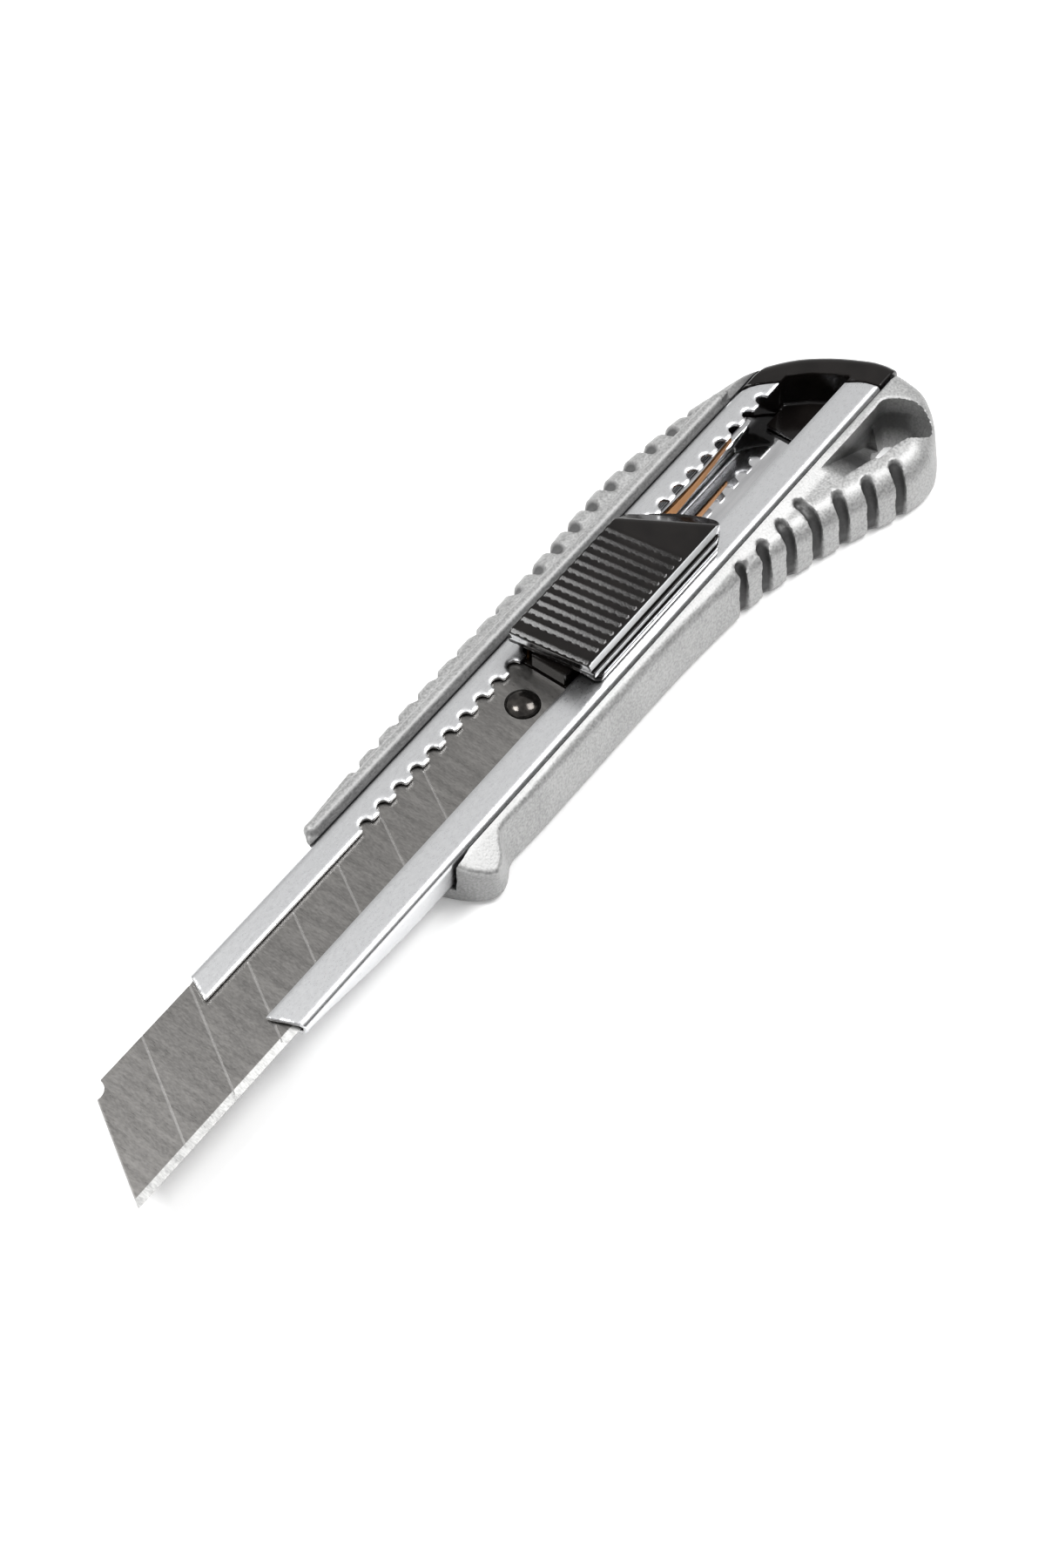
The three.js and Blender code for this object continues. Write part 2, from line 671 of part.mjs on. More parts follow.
// Ribbed thumb pad: overhanging front, ribs across its top and a smooth ramp at the back.
function sliderPad() {
  const seam = PAD_SEAM + GAP / 2;
  const side = shapeFrom([
    [-112.8, seam],
    [-111.4, 5.2],
    [-110.2, 6.9],
    [-110.9, PAD_TOP],
    [-152, PAD_TOP],
    [-152, seam],
  ]);
  const section = shapeFrom([
    [-7.8, seam],
    [7.8, seam],
    [7.4, 5.3],
    [6.6, 7.5],
    [5.9, PAD_TOP],
    [-5.9, PAD_TOP],
    [-6.6, 7.5],
    [-7.4, 5.3],
  ]);
  const rear = smooth(SLIDER_REAR, 12).map((p) => new THREE.Vector2(p.x + GAP, p.y));
  const plan = new THREE.Shape([...vectors([[-100, 9], [-100, -9]]), ...rear]);
  const halfSpan = 9;
  let pad = sidePlate(side, -halfSpan, halfSpan);
  pad = pad.intersect(sectionBar(section, -160, -100)).intersect(plate(plan, 0, 12));

  // Sloping rear facet, steeper on the spine side, that ends just above the seam.
  const facet = new THREE.Plane().setFromCoplanarPoints(
    new THREE.Vector3(-138, -7.8, PAD_TOP),
    new THREE.Vector3(-143.3, -7.8, seam + 0.3),
    new THREE.Vector3(-150.6, 4, seam + 0.3),
  );
  if (facet.normal.z < 0) {
    facet.negate();
  }
  pad = pad.trimByPlane(facet.normal.clone().negate().toArray(), facet.constant);

  // Round grooves leave the ribs standing between them.
  const reach = halfSpan * Math.tan(RIB_SLANT);
  const z = PAD_TOP + 0.15;
  for (let i = 0; i < RIB_COUNT; i += 1) {
    const x = FIRST_RIB_X - i * RIB_PITCH;
    pad = pad.subtract(capsule([x + reach, -halfSpan, z], [x - reach, halfSpan, z], RIB_GROOVE_RADIUS));
  }
  return pad;
}

// ---- end cap ----
// Plug that closes the rear of the channel: an outer wall on the handle's rear arc, hollow inside, with a
// tongue that lies on the channel floor.
function endCap() {
  const front = smooth(CHANNEL_REAR, 12)
    .reverse()
    .map((p) => new THREE.Vector2(p.x - GAP, p.y));
  const outer = smooth(REAR_ARC, 16);
  const spineCorner = new THREE.Vector2(-184.5, -14);
  const heelCorner = new THREE.Vector2(-201.4, 12);
  const plan = new THREE.Shape([spineCorner, ...outer, heelCorner, ...front]);
  const halfWidth = CHANNEL_HALF_WIDTH - GAP;
  const between = box(BEHIND, -170, -halfWidth, halfWidth, BODY_BOTTOM, LIP_TOP + 1);
  const rim = vectors([
    [-160, -30],
    [-160, 25],
    [-201.4, 25],
  ]);
  const rounded = plate(new THREE.Shape([...rim, ...[...outer].reverse()]), FLOOR_OUTER - 3, LIP_TOP, CAP_ROUND);
  const plug = plate(plan, FLOOR_OUTER, LIP_TOP).intersect(between).intersect(rounded);
  const pocket = shapeFrom([
    [-170, SLOT_EDGE_Y],
    [-170, SLOT_SPINE_Y],
    [-187.7, SLOT_SPINE_Y],
    [-190.9, -1.6],
    [-193.3, 2],
    [-194.3, SLOT_EDGE_Y],
  ]);
  const tongueTop = -6.4;
  const tongue = box(-192, -182, -4.7, 3.8, FLOOR_OUTER + SHEET + GAP, tongueTop);
  return plug.subtract(plate(pocket, tongueTop, LIP_TOP + 1)).add(tongue);
}

// ---- assembly ----
function piece(name, solid, material) {
  const mesh = new THREE.Mesh(geometryOf(solid), material);
  mesh.name = name;
  return mesh;
}

const handle = new THREE.Group();
handle.add(
  piece("handle_body", handleBody(), castAlloy),
  piece("blade_channel", bladeChannel(), sheetSteel),
  piece("channel_rivet_front", channelRivet(CHANNEL_RIVETS_X[0]), sheetSteel),
  piece("channel_rivet_rear", channelRivet(CHANNEL_RIVETS_X[1]), sheetSteel),
  piece("side_spring", sideSpring(), bronze),
  piece("side_spring_rivet", springRivet(), darkSteel),
);

const slider = new THREE.Group();
slider.add(
  piece("snap_blade", snapBlade(), bladeSteel),
  piece("blade_carrier", bladeCarrier(), blackPlastic),
  piece("blade_stud", bladeStud(), darkSteel),
  piece("lock_spring", lockSpring(), bronze),
  piece("slider_base", sliderBase(), blackPlastic),
  piece("slider_pad", sliderPad(), blackPlastic),
);

const knife = new THREE.Group();
knife.add(handle, slider, piece("end_cap", endCap(), blackPlastic));

// Origin under the middle of the knife's box, on the surface that it lies on.
const bounds = new THREE.Box3().setFromObject(knife);
const middle = bounds.getCenter(new THREE.Vector3());
knife.position.set(-middle.x, -middle.y, -bounds.min.z);

export default knife;
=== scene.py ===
import json
import math

import bpy
import numpy as np
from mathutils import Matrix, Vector


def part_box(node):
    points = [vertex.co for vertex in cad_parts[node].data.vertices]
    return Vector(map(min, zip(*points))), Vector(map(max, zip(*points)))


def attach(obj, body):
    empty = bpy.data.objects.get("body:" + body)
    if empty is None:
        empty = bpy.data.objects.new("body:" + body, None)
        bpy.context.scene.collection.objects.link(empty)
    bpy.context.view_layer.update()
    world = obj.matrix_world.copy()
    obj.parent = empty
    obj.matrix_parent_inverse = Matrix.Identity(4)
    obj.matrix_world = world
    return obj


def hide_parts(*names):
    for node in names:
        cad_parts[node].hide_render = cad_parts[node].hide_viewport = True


# Snap-off utility knife: the moulded and cast pieces are rebuilt here as finished solids, with rounded edges,
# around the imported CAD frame. The working datum is the CAD's own: millimetres, the blade's point at x = 0,
# the blade's upper face at z = 0, the cutting edge towards +y and the spine towards -y.
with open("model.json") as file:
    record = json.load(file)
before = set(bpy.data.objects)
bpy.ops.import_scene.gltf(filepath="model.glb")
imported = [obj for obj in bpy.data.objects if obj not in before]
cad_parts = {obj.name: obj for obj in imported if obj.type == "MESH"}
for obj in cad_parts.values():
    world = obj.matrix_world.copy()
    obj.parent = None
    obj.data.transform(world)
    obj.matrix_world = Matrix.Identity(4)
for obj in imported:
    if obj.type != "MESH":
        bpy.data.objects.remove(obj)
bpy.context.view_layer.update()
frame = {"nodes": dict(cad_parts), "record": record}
scene = bpy.context.scene
MM = 0.001
blade_low, blade_high = (Vector(corner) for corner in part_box("snap_blade"))
DATUM = Vector((blade_high.x, (blade_low.y + blade_high.y) / 2, blade_high.z))


def mm(x, y, z):
    return DATUM + Vector((x, y, z)) * MM


# ---- driving dimensions, mm ----
GAP = 0.3
BODY_TOP, BODY_BOTTOM, BOTTOM_ROUND = 0.7, -9.7, 1.4
SHOULDER_Z, SHOULDER_ROUND, FRONT_SHARE = -0.1, 3.2, 0.15  # the share of the rounding left at the front
RIDGE_Y, RIDGE_Z, RIDGE_RADIUS = -11.7, 0.3, 1.3
RIDGE_FRONT, RIDGE_REAR = -64.2, -176
RIDGE_NOTCH, RIDGE_NOTCH_RADIUS = ((-176.2, -10.2, 0.9), (-178.4, -12, 0.3)), 0.7
WALL_LEAN, WALL_FOOT_Z = 0.26, -7.3  # the grip wall leans in by this much per mm of height
LEAN_ONSET = 0.6  # under 1, the lean comes in quickly behind the guard
CROWN_SLOPE, CROWN_WIDTH = 0.3, 2.6
SHELF_SLOPE, SHELF_WIDTH = 0.45, 6  # the crown widens into a shelf over the guard
GUARD_LEAN, GUARD_FOOT_Z = -0.04, -8.5
HORN_LEAN = 0.78  # the spine side's front end leans back below the top by this much per mm
GUARD_ROUND, GRIP_ROUND, PALM_ROUND, HEEL_ROUND = 0.5, 0.6, 2.4, 2.2
SEAM, GUARD_SEAM = 0.08, 0.4
FLUTE_PITCH, FLUTE_COUNT, FIRST_FLUTE_X, FLUTE_RADIUS = 5.5, 18, -78, 1.3
FLUTE_TOP, FLUTE_DEEP = (0.2, 0.6), (-0.25, -3.4)  # y from the spine's edge, and z
FLUTE_ROLL_Y, FLUTE_ROLL_Z, FLUTE_SINK = 2.6, 0.1, 0.35  # added where the flutes roll onto the top
GROOVE_PITCH, FIRST_GROOVE_X, GROOVE_RADIUS = 5.6, -148.5, 1.2
GROOVE_INNER_Y = (11.9, 11.8, 11.8, 11.8, 15.9, 18.2, 20.2)
GROOVE_LEAN = 2.2
LANYARD_Y, LANYARD_REAR, HOLE_DRAFT, DRAFT_TOP = 11.4, -190.5, 0.35, -3
CHANNEL_HALF_WIDTH, SHEET, LIP_TOP, FLOOR_OUTER = 9.95, 0.7, 1.1, -8.2
TOP_BEND, MOUTH_BEND, REAR_BEND = 1.3, 0.8, 3.2
SLOT_SPINE_Y, SLOT_EDGE_Y = -5, 4.1
TOOTH_PITCH, TOOTH_COUNT, FIRST_NOTCH_X, NOTCH_RADIUS, NOTCH_DEPTH = 4.25, 27, -69.9, 1.2, 1.4
EDGE_WIDTH, EDGE_SLOPE = 0.35, math.radians(22)  # the lips' edges are coined down
CHANNEL_RIVETS_X = (-92, -134)
RIVET_RADIUS, RIVET_HOLE_TOP = 1.5, -6
SPRING_RIVET_X, SPRING_RIVET_Z, SPRING_RIVET_RADIUS, SPRING_HOLE_Y = -123, -3, 1, -7
CAP_ROUND, CAP_POCKET_Z = 2.5, -6.4
TONGUE_LOW, TONGUE_HIGH = (-192, -4.7, -7.2), (-182, 3.8, -6.4)
SLIDER_BOTTOM = LIP_TOP + GAP
BASE_GROOVE_Z, BASE_GROOVE_HALF, BASE_GROOVE_DEPTH = 2.5, 0.14, 0.3
PAD_TOP, PAD_SEAM, PAD_FRONT_X = 7.9, 3.6, -110.4
PAD_HALF, PAD_LEAN, FLANGE_HALF, FLANGE_TOP = 7.4, 0.06, 7.85, 5.0
PAD_GROOVE_Y, PAD_GROOVE_Z, PAD_GROOVE_RADIUS = 7.45, 5.35, 0.28
NOSE_SLOPE, NOSE_SCALE, NOSE_TOP, NOSE_CHAMFER = 0.3, 0.95, 6.9, 0.42
LEDGE_SETBACK, LEDGE_TOP = 0.7, 5.8
RIB_PITCH, RIB_COUNT, FIRST_RIB_X, RIB_SLANT = 2.09, 12, -113.6, math.radians(8)
RIB_DEPTH, RIB_SLOPE, RIB_BACK = 0.5, math.radians(21), math.radians(65)
RIB_FOOT, RIB_END_Y, RIB_END_RADIUS = 0.45, 5.9, 0.85
CARRIER_REAR, CARRIER_FRONT, CARRIER_HALF, UNDER_BLADE = -143, -110.3, 8.9, -0.8
KEEL_HALF, KEEL_Z, ARM_HALF, ARM_Z = 4.2, -3.9, 4.6, -1.9
TIP_RADIUS, TIP_Z, TIP_HALF = 3.65, -1.35, 0.55
STEM_HALF, STEM_FOOT, STEM_LENGTH, STEM_TOP, STEP_TOP = 3.4, -0.2, 2.5, 3.3, 1.1
STUD_X, STUD_RADIUS, STUD_FOOT, STUD_RIM, STUD_TOP = -103.45, 2.9, -0.5, -0.15, 1.2
BEVEL_Y, BEVEL_BLUR = 7.65, 0.12
SCORE_PITCH, SCORE_WIDTH, SCORE_COUNT, SCORE_START_Y = 10.81, 0.28, 7.5, 9
SCORE_ANGLE = math.radians(30)
SHARP_ANGLE = math.radians(32)
SLOPE_SCALE = 0.97  # keeps the field of a sloping face close to a true distance

# Stretches along x over which one shape passes into another.
HORN_LEANS, GUARD_LEANS, GUARD_SHELF, GUARD_GAPS = (-84, -68), (-84, -77.5), (-86, -81), (-76, -73.5)
GRIP_STARTS, GRIP_ENDS = (-76.8, -82.2), (-201, -190)
SHOULDER_ROLLS, SHOULDER_RISES, HEEL_ROLLS = (-63, -115), (-178, -184), (-172, -190)
GRIP_ROLLS, PALM_ROLLS = (-84, -100), (-140, -166)
FLUTES_ROLL, FLUTES_UNROLL, FLUTES_SINK = (-112, -130), (-175, -166), (-100, -130)
CHANNEL_BENDS = (-70, -90)

# The channel's underside rises towards the mouth: x and z.
CHANNEL_UNDERSIDE = ((-206, FLOOR_OUTER), (-84, FLOOR_OUTER), (-78, -7.2), (-71.5, -5.5), (-63, -5.2),
                     (-58, -4.8), (-52.4, -4.1), (-46.5, -2.9), (-40, -1.6), (-25, -1.3))
# The other outlines are in plan: x and y.
CHANNEL_MOUTH = ((-36.7, 9.95), (-34.4, 4.8), (-31.1, -5.2), (-33.1, -9.95))
CHANNEL_REAR = ((-178, -9.95), (-181.8, -8.5), (-185, -5.6), (-189, -0.5), (-192.3, 4), (-194.4, 6.8),
                (-195.2, 9.95))
SPINE_EDGE = ((-63.6, -13.3), (-70, -14), (-79, -14.7), (-97, -15.8), (-117, -16.5), (-129.5, -17),
              (-140, -17.7), (-149, -18.1), (-157, -17.7), (-166, -16.75), (-173, -15.7), (-180, -13.7),
              (-184.5, -12))
REAR_ARC = ((-184.5, -12), (-187.2, -10.55), (-190.25, -8.6), (-193.3, -6.1), (-195.8, -3.25),
            (-197.85, -0.4), (-199.7, 2.85), (-200.9, 5.4), (-201.4, 7.8))
GRIP_EDGE = ((-201.4, 7.8), (-201.5, 10), (-201.25, 12.5), (-200.6, 15.6), (-199, 18.3), (-196.8, 20.8),
             (-194, 23.2), (-190, 25.5), (-187, 26.1), (-184, 25.9), (-179.5, 24.7), (-173.5, 22.3),
             (-168, 20.2), (-162.2, 18.4), (-157, 16.9), (-151.9, 15.75), (-146.6, 14.9), (-135.6, 14.15),
             (-125.6, 13.8), (-105.6, 13.65), (-90, 13.55))
GUARD_EDGE = ((-90, 13.55), (-86.5, 13.4), (-83.3, 13.3), (-81.5, 13.8), (-79.8, 14.8), (-78, 15.5),
              (-76, 15.3), (-74, 13.7), (-72.3, 11.2), (-70.9, 8))
HORN_CORNER = (-61.4, -10.2)
LANYARD_EDGE = ((-188, LANYARD_Y), (-190.5, LANYARD_Y), (-193, LANYARD_Y), (-194.8, 12.8), (-196.1, 15.5),
                (-196.2, 18), (-194.7, 20.6), (-192.4, 21.9), (-190, 21.1), (-188.3, 19.5), (-185, 18.5),
                (-181.5, 17.6), (-184, 14.5), (-188, LANYARD_Y))
CAP_POCKET = ((-170, SLOT_EDGE_Y), (-170, SLOT_SPINE_Y), (-187.7, SLOT_SPINE_Y), (-190.9, -1.6), (-193.3, 2),
              (-194.3, SLOT_EDGE_Y))
SLIDER_FRONT = ((-113.9, 8.1), (-113.2, 7.3), (-112.9, -7.3), (-113.5, -8.1))
SLIDER_REAR = ((-142.6, -8.1), (-146.6, -4.2), (-149.4, 0), (-151, 3.9), (-149.9, 6.4), (-146.8, 8.1))


# ---- solids as distance fields ----
# A solid is a function of x, y and z in mm. It is negative inside the solid, and about as far from zero as
# the surface is away.
def ramp(t, start, end):
    return np.clip((t - start) / (end - start), 0, 1)


def both(a, b, radius=None):
    """Where two solids overlap, the edge between them rounded."""
    if radius is None:
        return np.maximum(a, b)
    corner = np.hypot(np.maximum(a + radius, 0), np.maximum(b + radius, 0))
    return np.minimum(np.maximum(a, b), -radius) + corner


def either(a, b, radius=None):
    """Two solids together, the corner between them filled."""
    return -both(-a, -b, radius)


def cut(a, b, radius=None):
    """The first solid without the second, the new edge rounded."""
    return both(a, -b, radius)


def segment_distance(p, a, b):
    """How far points lie from the segment a-b. p, a and b are given coordinate by coordinate."""
    along = [v - u for u, v in zip(a, b)]
    length = sum(d * d for d in along)
    t = np.clip(sum((q - u) * d for q, u, d in zip(p, a, along)) / length, 0, 1)
    return np.sqrt(sum((q - u - t * d) ** 2 for q, u, d in zip(p, a, along)))


def block(x, y, z, low, high, plan_round=None, edge_round=None):
    """A box between two corners, its upright edges and its top and bottom edges rounded."""
    sides = [np.abs(p - (a + b) / 2) - (b - a) / 2 for p, a, b in zip((x, y, z), low, high)]
    return both(both(sides[0], sides[1], plan_round), sides[2], edge_round)


def smooth(points, count):
    """Points along the uniform Catmull-Rom curve through a few points."""
    p = np.array(points, float)
    at = np.linspace(0, len(p) - 1, count + 1)
    i = np.minimum(at.astype(int), len(p) - 2)
    t = (at - i)[:, None]
    before, start, end, after = (p[np.clip(i + k, 0, len(p) - 1)] for k in (-1, 0, 1, 2))
    v0, v1 = (end - before) / 2, (after - start) / 2
    cubic = 2 * start - 2 * end + v0 + v1
    square = 3 * end - 3 * start - 2 * v0 - v1
    return cubic * t**3 + square * t**2 + v0 * t + start


def line_at(points, x):
    """The y of an outline at x, where it runs one way along x."""
    order = np.argsort(points[:, 0])
    return np.interp(x, points[order, 0], points[order, 1])


def polygon_distance(points, x, y):
    """Distance in plan to a closed outline, negative inside it."""
    p = np.array(points, float)
    nearest = np.full(np.shape(x), np.inf)
    inside = np.zeros(np.shape(x), bool)
    for (ax, ay), (bx, by) in zip(p, np.roll(p, -1, axis=0)):
        if (ax, ay) == (bx, by):
            continue
        nearest = np.minimum(nearest, segment_distance((x, y), (ax, ay), (bx, by)))
        if ay != by:
            inside ^= ((ay > y) != (by > y)) & (x < ax + (y - ay) * (bx - ax) / (by - ay))
    return np.where(inside, -nearest, nearest)


class Plan:
    """polygon_distance of one outline, worked out once on a fine grid and read from it afterwards."""

    STEP = 0.2
    MARGIN = 4

    def __init__(self, points):
        p = np.array(points, float)
        self.low = p.min(axis=0) - self.MARGIN
        self.count = np.ceil((p.max(axis=0) + self.MARGIN - self.low) / self.STEP).astype(int) + 1
        axes = [self.low[i] + self.STEP * np.arange(self.count[i]) for i in (0, 1)]
        self.table = polygon_distance(p, *np.meshgrid(*axes, indexing="ij"))

    def __call__(self, x, y):
        # Places are clipped just short of the last row and column, so that each has a next one.
        u = np.clip((x - self.low[0]) / self.STEP, 0, self.count[0] - 1.001)
        v = np.clip((y - self.low[1]) / self.STEP, 0, self.count[1] - 1.001)
        i, j = u.astype(int), v.astype(int)
        u, v = u - i, v - j
        t = self.table
        near = t[i, j] * (1 - u) + t[i + 1, j] * u
        far = t[i, j + 1] * (1 - u) + t[i + 1, j + 1] * u
        return near * (1 - v) + far * v


def through(a, b, c):
    """The half-space under the plane through three points."""
    a, b, c = (np.array(p, float) for p in (a, b, c))
    normal = np.cross(b - a, c - a)
    normal *= np.sign(normal[2]) / np.linalg.norm(normal)
    return lambda x, y, z: (x - a[0]) * normal[0] + (y - a[1]) * normal[1] + (z - a[2]) * normal[2]


def unit_gradient(field, points):
    """The direction out of the surface at some points."""
    reach = 0.04
    slopes = []
    for i in range(3):
        ahead, behind = points.copy(), points.copy()
        ahead[:, i] += reach
        behind[:, i] -= reach
        slopes.append(field(*ahead.T) - field(*behind.T))
    normals = np.stack(slopes, axis=1)
    return normals / np.maximum(np.linalg.norm(normals, axis=1, keepdims=True), 1e-9)


def crossed_edges(values):
    """Where a grid's edges cross the surface, counted in steps, and the four cells around each crossing.

    The cells come twice: in one fixed order, and in the order that makes an outward quad of them.
    """
    crossings, cells, quads = [], [], []
    for axis in range(3):
        first = np.take(values, range(values.shape[axis] - 1), axis)
        last = np.take(values, range(1, values.shape[axis]), axis)
        crossed = (first < 0) != (last < 0)
        cell = np.argwhere(crossed)
        a, b = first[crossed], last[crossed]
        point = cell.astype(float)
        point[:, axis] += a / (a - b)
        around = []
        for u, v in ((-1, -1), (0, -1), (0, 0), (-1, 0)):
            shift = np.zeros(3, int)
            shift[(axis + 1) % 3], shift[(axis + 2) % 3] = u, v
            around.append(np.ravel_multi_index((cell + shift).T, values.shape))
        around = np.stack(around, axis=1)
        crossings.append(point)
        cells.append(around)
        quads.append(np.where((a < 0)[:, None], around, around[:, ::-1]))
    return np.concatenate(crossings), np.concatenate(cells), np.concatenate(quads)


def contour(field, low, high, step):
    """Points and quads of a field's surface, by dual contouring, which keeps edges and corners crisp."""
    # The grid starts an odd part of a step outside, so that no flat face lies along its nodes.
    axes = [np.arange(a - 1.37 * step, b + 1.6 * step, step) for a, b in zip(low, high)]
    origin = np.array([axis[0] for axis in axes])
    values = field(*np.meshgrid(*axes, indexing="ij"))
    crossings, cells, quads = crossed_edges(values)
    points = origin + crossings * step
    normals = unit_gradient(field, points)
    used, index = np.unique(cells, return_inverse=True)
    index = index.reshape(cells.shape)

    def total(weight):
        return sum(np.bincount(index[:, k], weight, len(used)) for k in range(4))

    # Each cell's vertex goes where the tangent planes at its crossings meet, held a little to their middle.
    count = total(np.ones(len(points)))
    middle = np.stack([total(points[:, i]) for i in range(3)], axis=1) / count[:, None]
    height = np.einsum("ij,ij->i", normals, points)
    pull = np.stack([total(normals[:, i] * height) for i in range(3)], axis=1)
    matrix = np.empty((len(used), 3, 3))
    for i in range(3):
        for j in range(3):
            matrix[:, i, j] = total(normals[:, i] * normals[:, j])
    pull -= np.einsum("nij,nj->ni", matrix, middle)
    stiffness = 0.04 * count
    for i in range(3):
        matrix[:, i, i] += stiffness
    shift = np.linalg.solve(matrix, pull[:, :, None])[:, :, 0]
    centre = origin + (np.stack(np.unravel_index(used, values.shape), axis=1) + 0.5) * step
    vertices = np.clip(middle + shift, centre - 0.6 * step, centre + 0.6 * step)
    return vertices, np.searchsorted(used, quads)


def piece(name, vertices, faces, body, slot, material, replaces):
    """A Blender object of a mesh in working-datum mm, riding on a body, in place of some CAD nodes."""
    mesh = bpy.data.meshes.new(name)
    places = np.array(vertices, float) * MM + np.array(DATUM)
    faces = faces.tolist() if isinstance(faces, np.ndarray) else faces
    mesh.from_pydata(places.tolist(), [], faces)
    mesh.shade_smooth()
    mesh.set_sharp_from_angle(angle=SHARP_ANGLE)
    mesh.materials.append(material)
    obj = bpy.data.objects.new(name, mesh)
    scene.collection.objects.link(obj)
    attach(obj, body)
    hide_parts(*replaces)
    return obj


# ---- handle ----
spine_line = smooth(SPINE_EDGE, 30)
grip_line = smooth(GRIP_EDGE, 60)
guard_line = smooth(GUARD_EDGE, 24)
body_plan = Plan([HORN_CORNER, *spine_line, *smooth(REAR_ARC, 14)[1:], *grip_line[1:], *guard_line[1:]])
hole_plan = Plan(smooth(LANYARD_EDGE, 60))
ramp_floor = through((-173.2, LANYARD_Y, 0.8), (-173.2, 15, 0.8), (-187.5, LANYARD_Y, -7.4))
ramp_side = through((-173.5, 15.3, 0.8), (-182.4, 17.9, 0.8), (-186, 14.2, -7.4))


def floor_z(x, lift=0.0):
    """Underside of the channel, with its bends eased."""
    xs, zs = zip(*CHANNEL_UNDERSIDE)
    reach = 2.5
    return sum(np.interp(x + d, xs, zs) for d in (-reach, -reach / 2, 0, reach / 2, reach)) / 5 + lift


def crown_z(x, y):
    """Height of the handle's top, which falls away from the channel on the grip side."""
    guard = ramp(x, *GUARD_SHELF)
    slope = CROWN_SLOPE + (SHELF_SLOPE - CROWN_SLOPE) * guard
    width = CROWN_WIDTH + (SHELF_WIDTH - CROWN_WIDTH) * guard
    fall = slope * np.clip(y - CHANNEL_HALF_WIDTH, 0, width)
    return BODY_TOP - fall * (1 - ramp(x, *HEEL_ROLLS))


def wall_field(x, y, z):
    """The handle's outside: walls, rounded edges and the swept guard, before anything is cut into it."""
    horn_lean = HORN_LEAN * (z - BODY_TOP) * ramp(x, *HORN_LEANS)
    guard_lean = GUARD_LEAN * (z - GUARD_FOOT_Z) * ramp(x, *GUARD_LEANS)
    wall = body_plan(x - np.where(y < 0, horn_lean, guard_lean), y)
    on_grip = (y > 0) * ramp(x, *GRIP_STARTS) ** LEAN_ONSET * ramp(x, *GRIP_ENDS)
    wall = wall + WALL_LEAN * np.maximum(z - WALL_FOOT_Z, 0) * on_grip
    roll = SHOULDER_ROUND * (FRONT_SHARE + (1 - FRONT_SHARE) * ramp(x, *SHOULDER_ROLLS))
    heel = ramp(x, *HEEL_ROLLS)
    spine_round = roll * (1 - heel) + HEEL_ROUND * heel
    grip_round = GUARD_ROUND + GRIP_ROUND * ramp(x, *GRIP_ROLLS) + PALM_ROUND * ramp(x, *PALM_ROLLS)
    shoulder = SHOULDER_Z + (BODY_TOP - SHOULDER_Z) * ramp(x, *SHOULDER_RISES)
    top = (z - np.where(y < RIDGE_Y, shoulder, crown_z(x, y))) * SLOPE_SCALE
    body = both(wall, top, np.where(y < 0, spine_round, grip_round))
    return both(body, BODY_BOTTOM - z, BOTTOM_ROUND)


def flute_field(x, y, z):
    """Scoops along the spine, each running down the wall. Towards the rear they roll over onto the top."""
    k = np.clip(np.round((FIRST_FLUTE_X - x) / FLUTE_PITCH), 0, FLUTE_COUNT - 1)
    centre_x = FIRST_FLUTE_X - k * FLUTE_PITCH
    crest = line_at(spine_line, centre_x)
    roll = ramp(centre_x, *FLUTES_ROLL) * ramp(centre_x, *FLUTES_UNROLL)
    top_y, top_z = crest + FLUTE_TOP[0] + FLUTE_ROLL_Y * roll, FLUTE_TOP[1] + FLUTE_ROLL_Z * roll
    deep_y = crest + FLUTE_DEEP[0] - FLUTE_SINK * ramp(centre_x, *FLUTES_SINK)
    deep_z = np.full_like(crest, FLUTE_DEEP[1])
    scoop = segment_distance((x - centre_x, y, z), (0, top_y, top_z), (0, deep_y, deep_z))
    drop = segment_distance((x - centre_x, y, z), (0, deep_y, deep_z), (0, deep_y, deep_z - 10))
    return np.minimum(scoop, drop) - FLUTE_RADIUS


def groove_path(groove_x, inner_y):
    """The middle line of one finger groove: over the top edge, then down the leaning grip wall."""
    start_y = inner_y + 0.9
    foot_y = float(line_at(grip_line, groove_x + GROOVE_LEAN))
    edge_y = foot_y - WALL_LEAN * 8 - 0.2
    path = smooth(((groove_x, start_y, float(crown_z(groove_x, start_y)) + 0.2),
                   (groove_x + 0.2, max(start_y + 0.2, edge_y - 2.6), 0.1),
                   (groove_x + 0.8, edge_y - 0.5, -1),
                   (groove_x + 1.5, edge_y + 0.8, -3.5),
                   (groove_x + GROOVE_LEAN, foot_y + 0.1, -7)), 12)
    return [tuple(point) for point in path] + [(groove_x + GROOVE_LEAN, foot_y + 0.2, -12)]


def groove_field(x, y, z):
    """The finger grooves, each worked out only near itself."""
    far = 9.0
    nearest = np.full(np.shape(x), far)
    for i, inner_y in enumerate(GROOVE_INNER_Y):
        groove_x = FIRST_GROOVE_X - i * GROOVE_PITCH
        near = np.abs(x - groove_x - 1) < 5
        if not near.any():
            continue
        path = groove_path(groove_x, inner_y)
        p = (x[near], y[near], z[near])
        distance = nearest[near]
        for a, b in zip(path, path[1:]):
            distance = np.minimum(distance, segment_distance(p, a, b) - GROOVE_RADIUS)
        nearest[near] = distance
    return nearest


def lanyard_field(x, y, z):
    """The lanyard hole, with the ramp that leads into it."""
    entry = np.maximum(np.maximum(-ramp_floor(x, y, z), -ramp_side(x, y, z)), LANYARD_Y - y)
    entry = np.maximum(entry, LANYARD_REAR - x)
    return np.minimum(entry, hole_plan(x, y) + HOLE_DRAFT * np.maximum(DRAFT_TOP - z, 0))


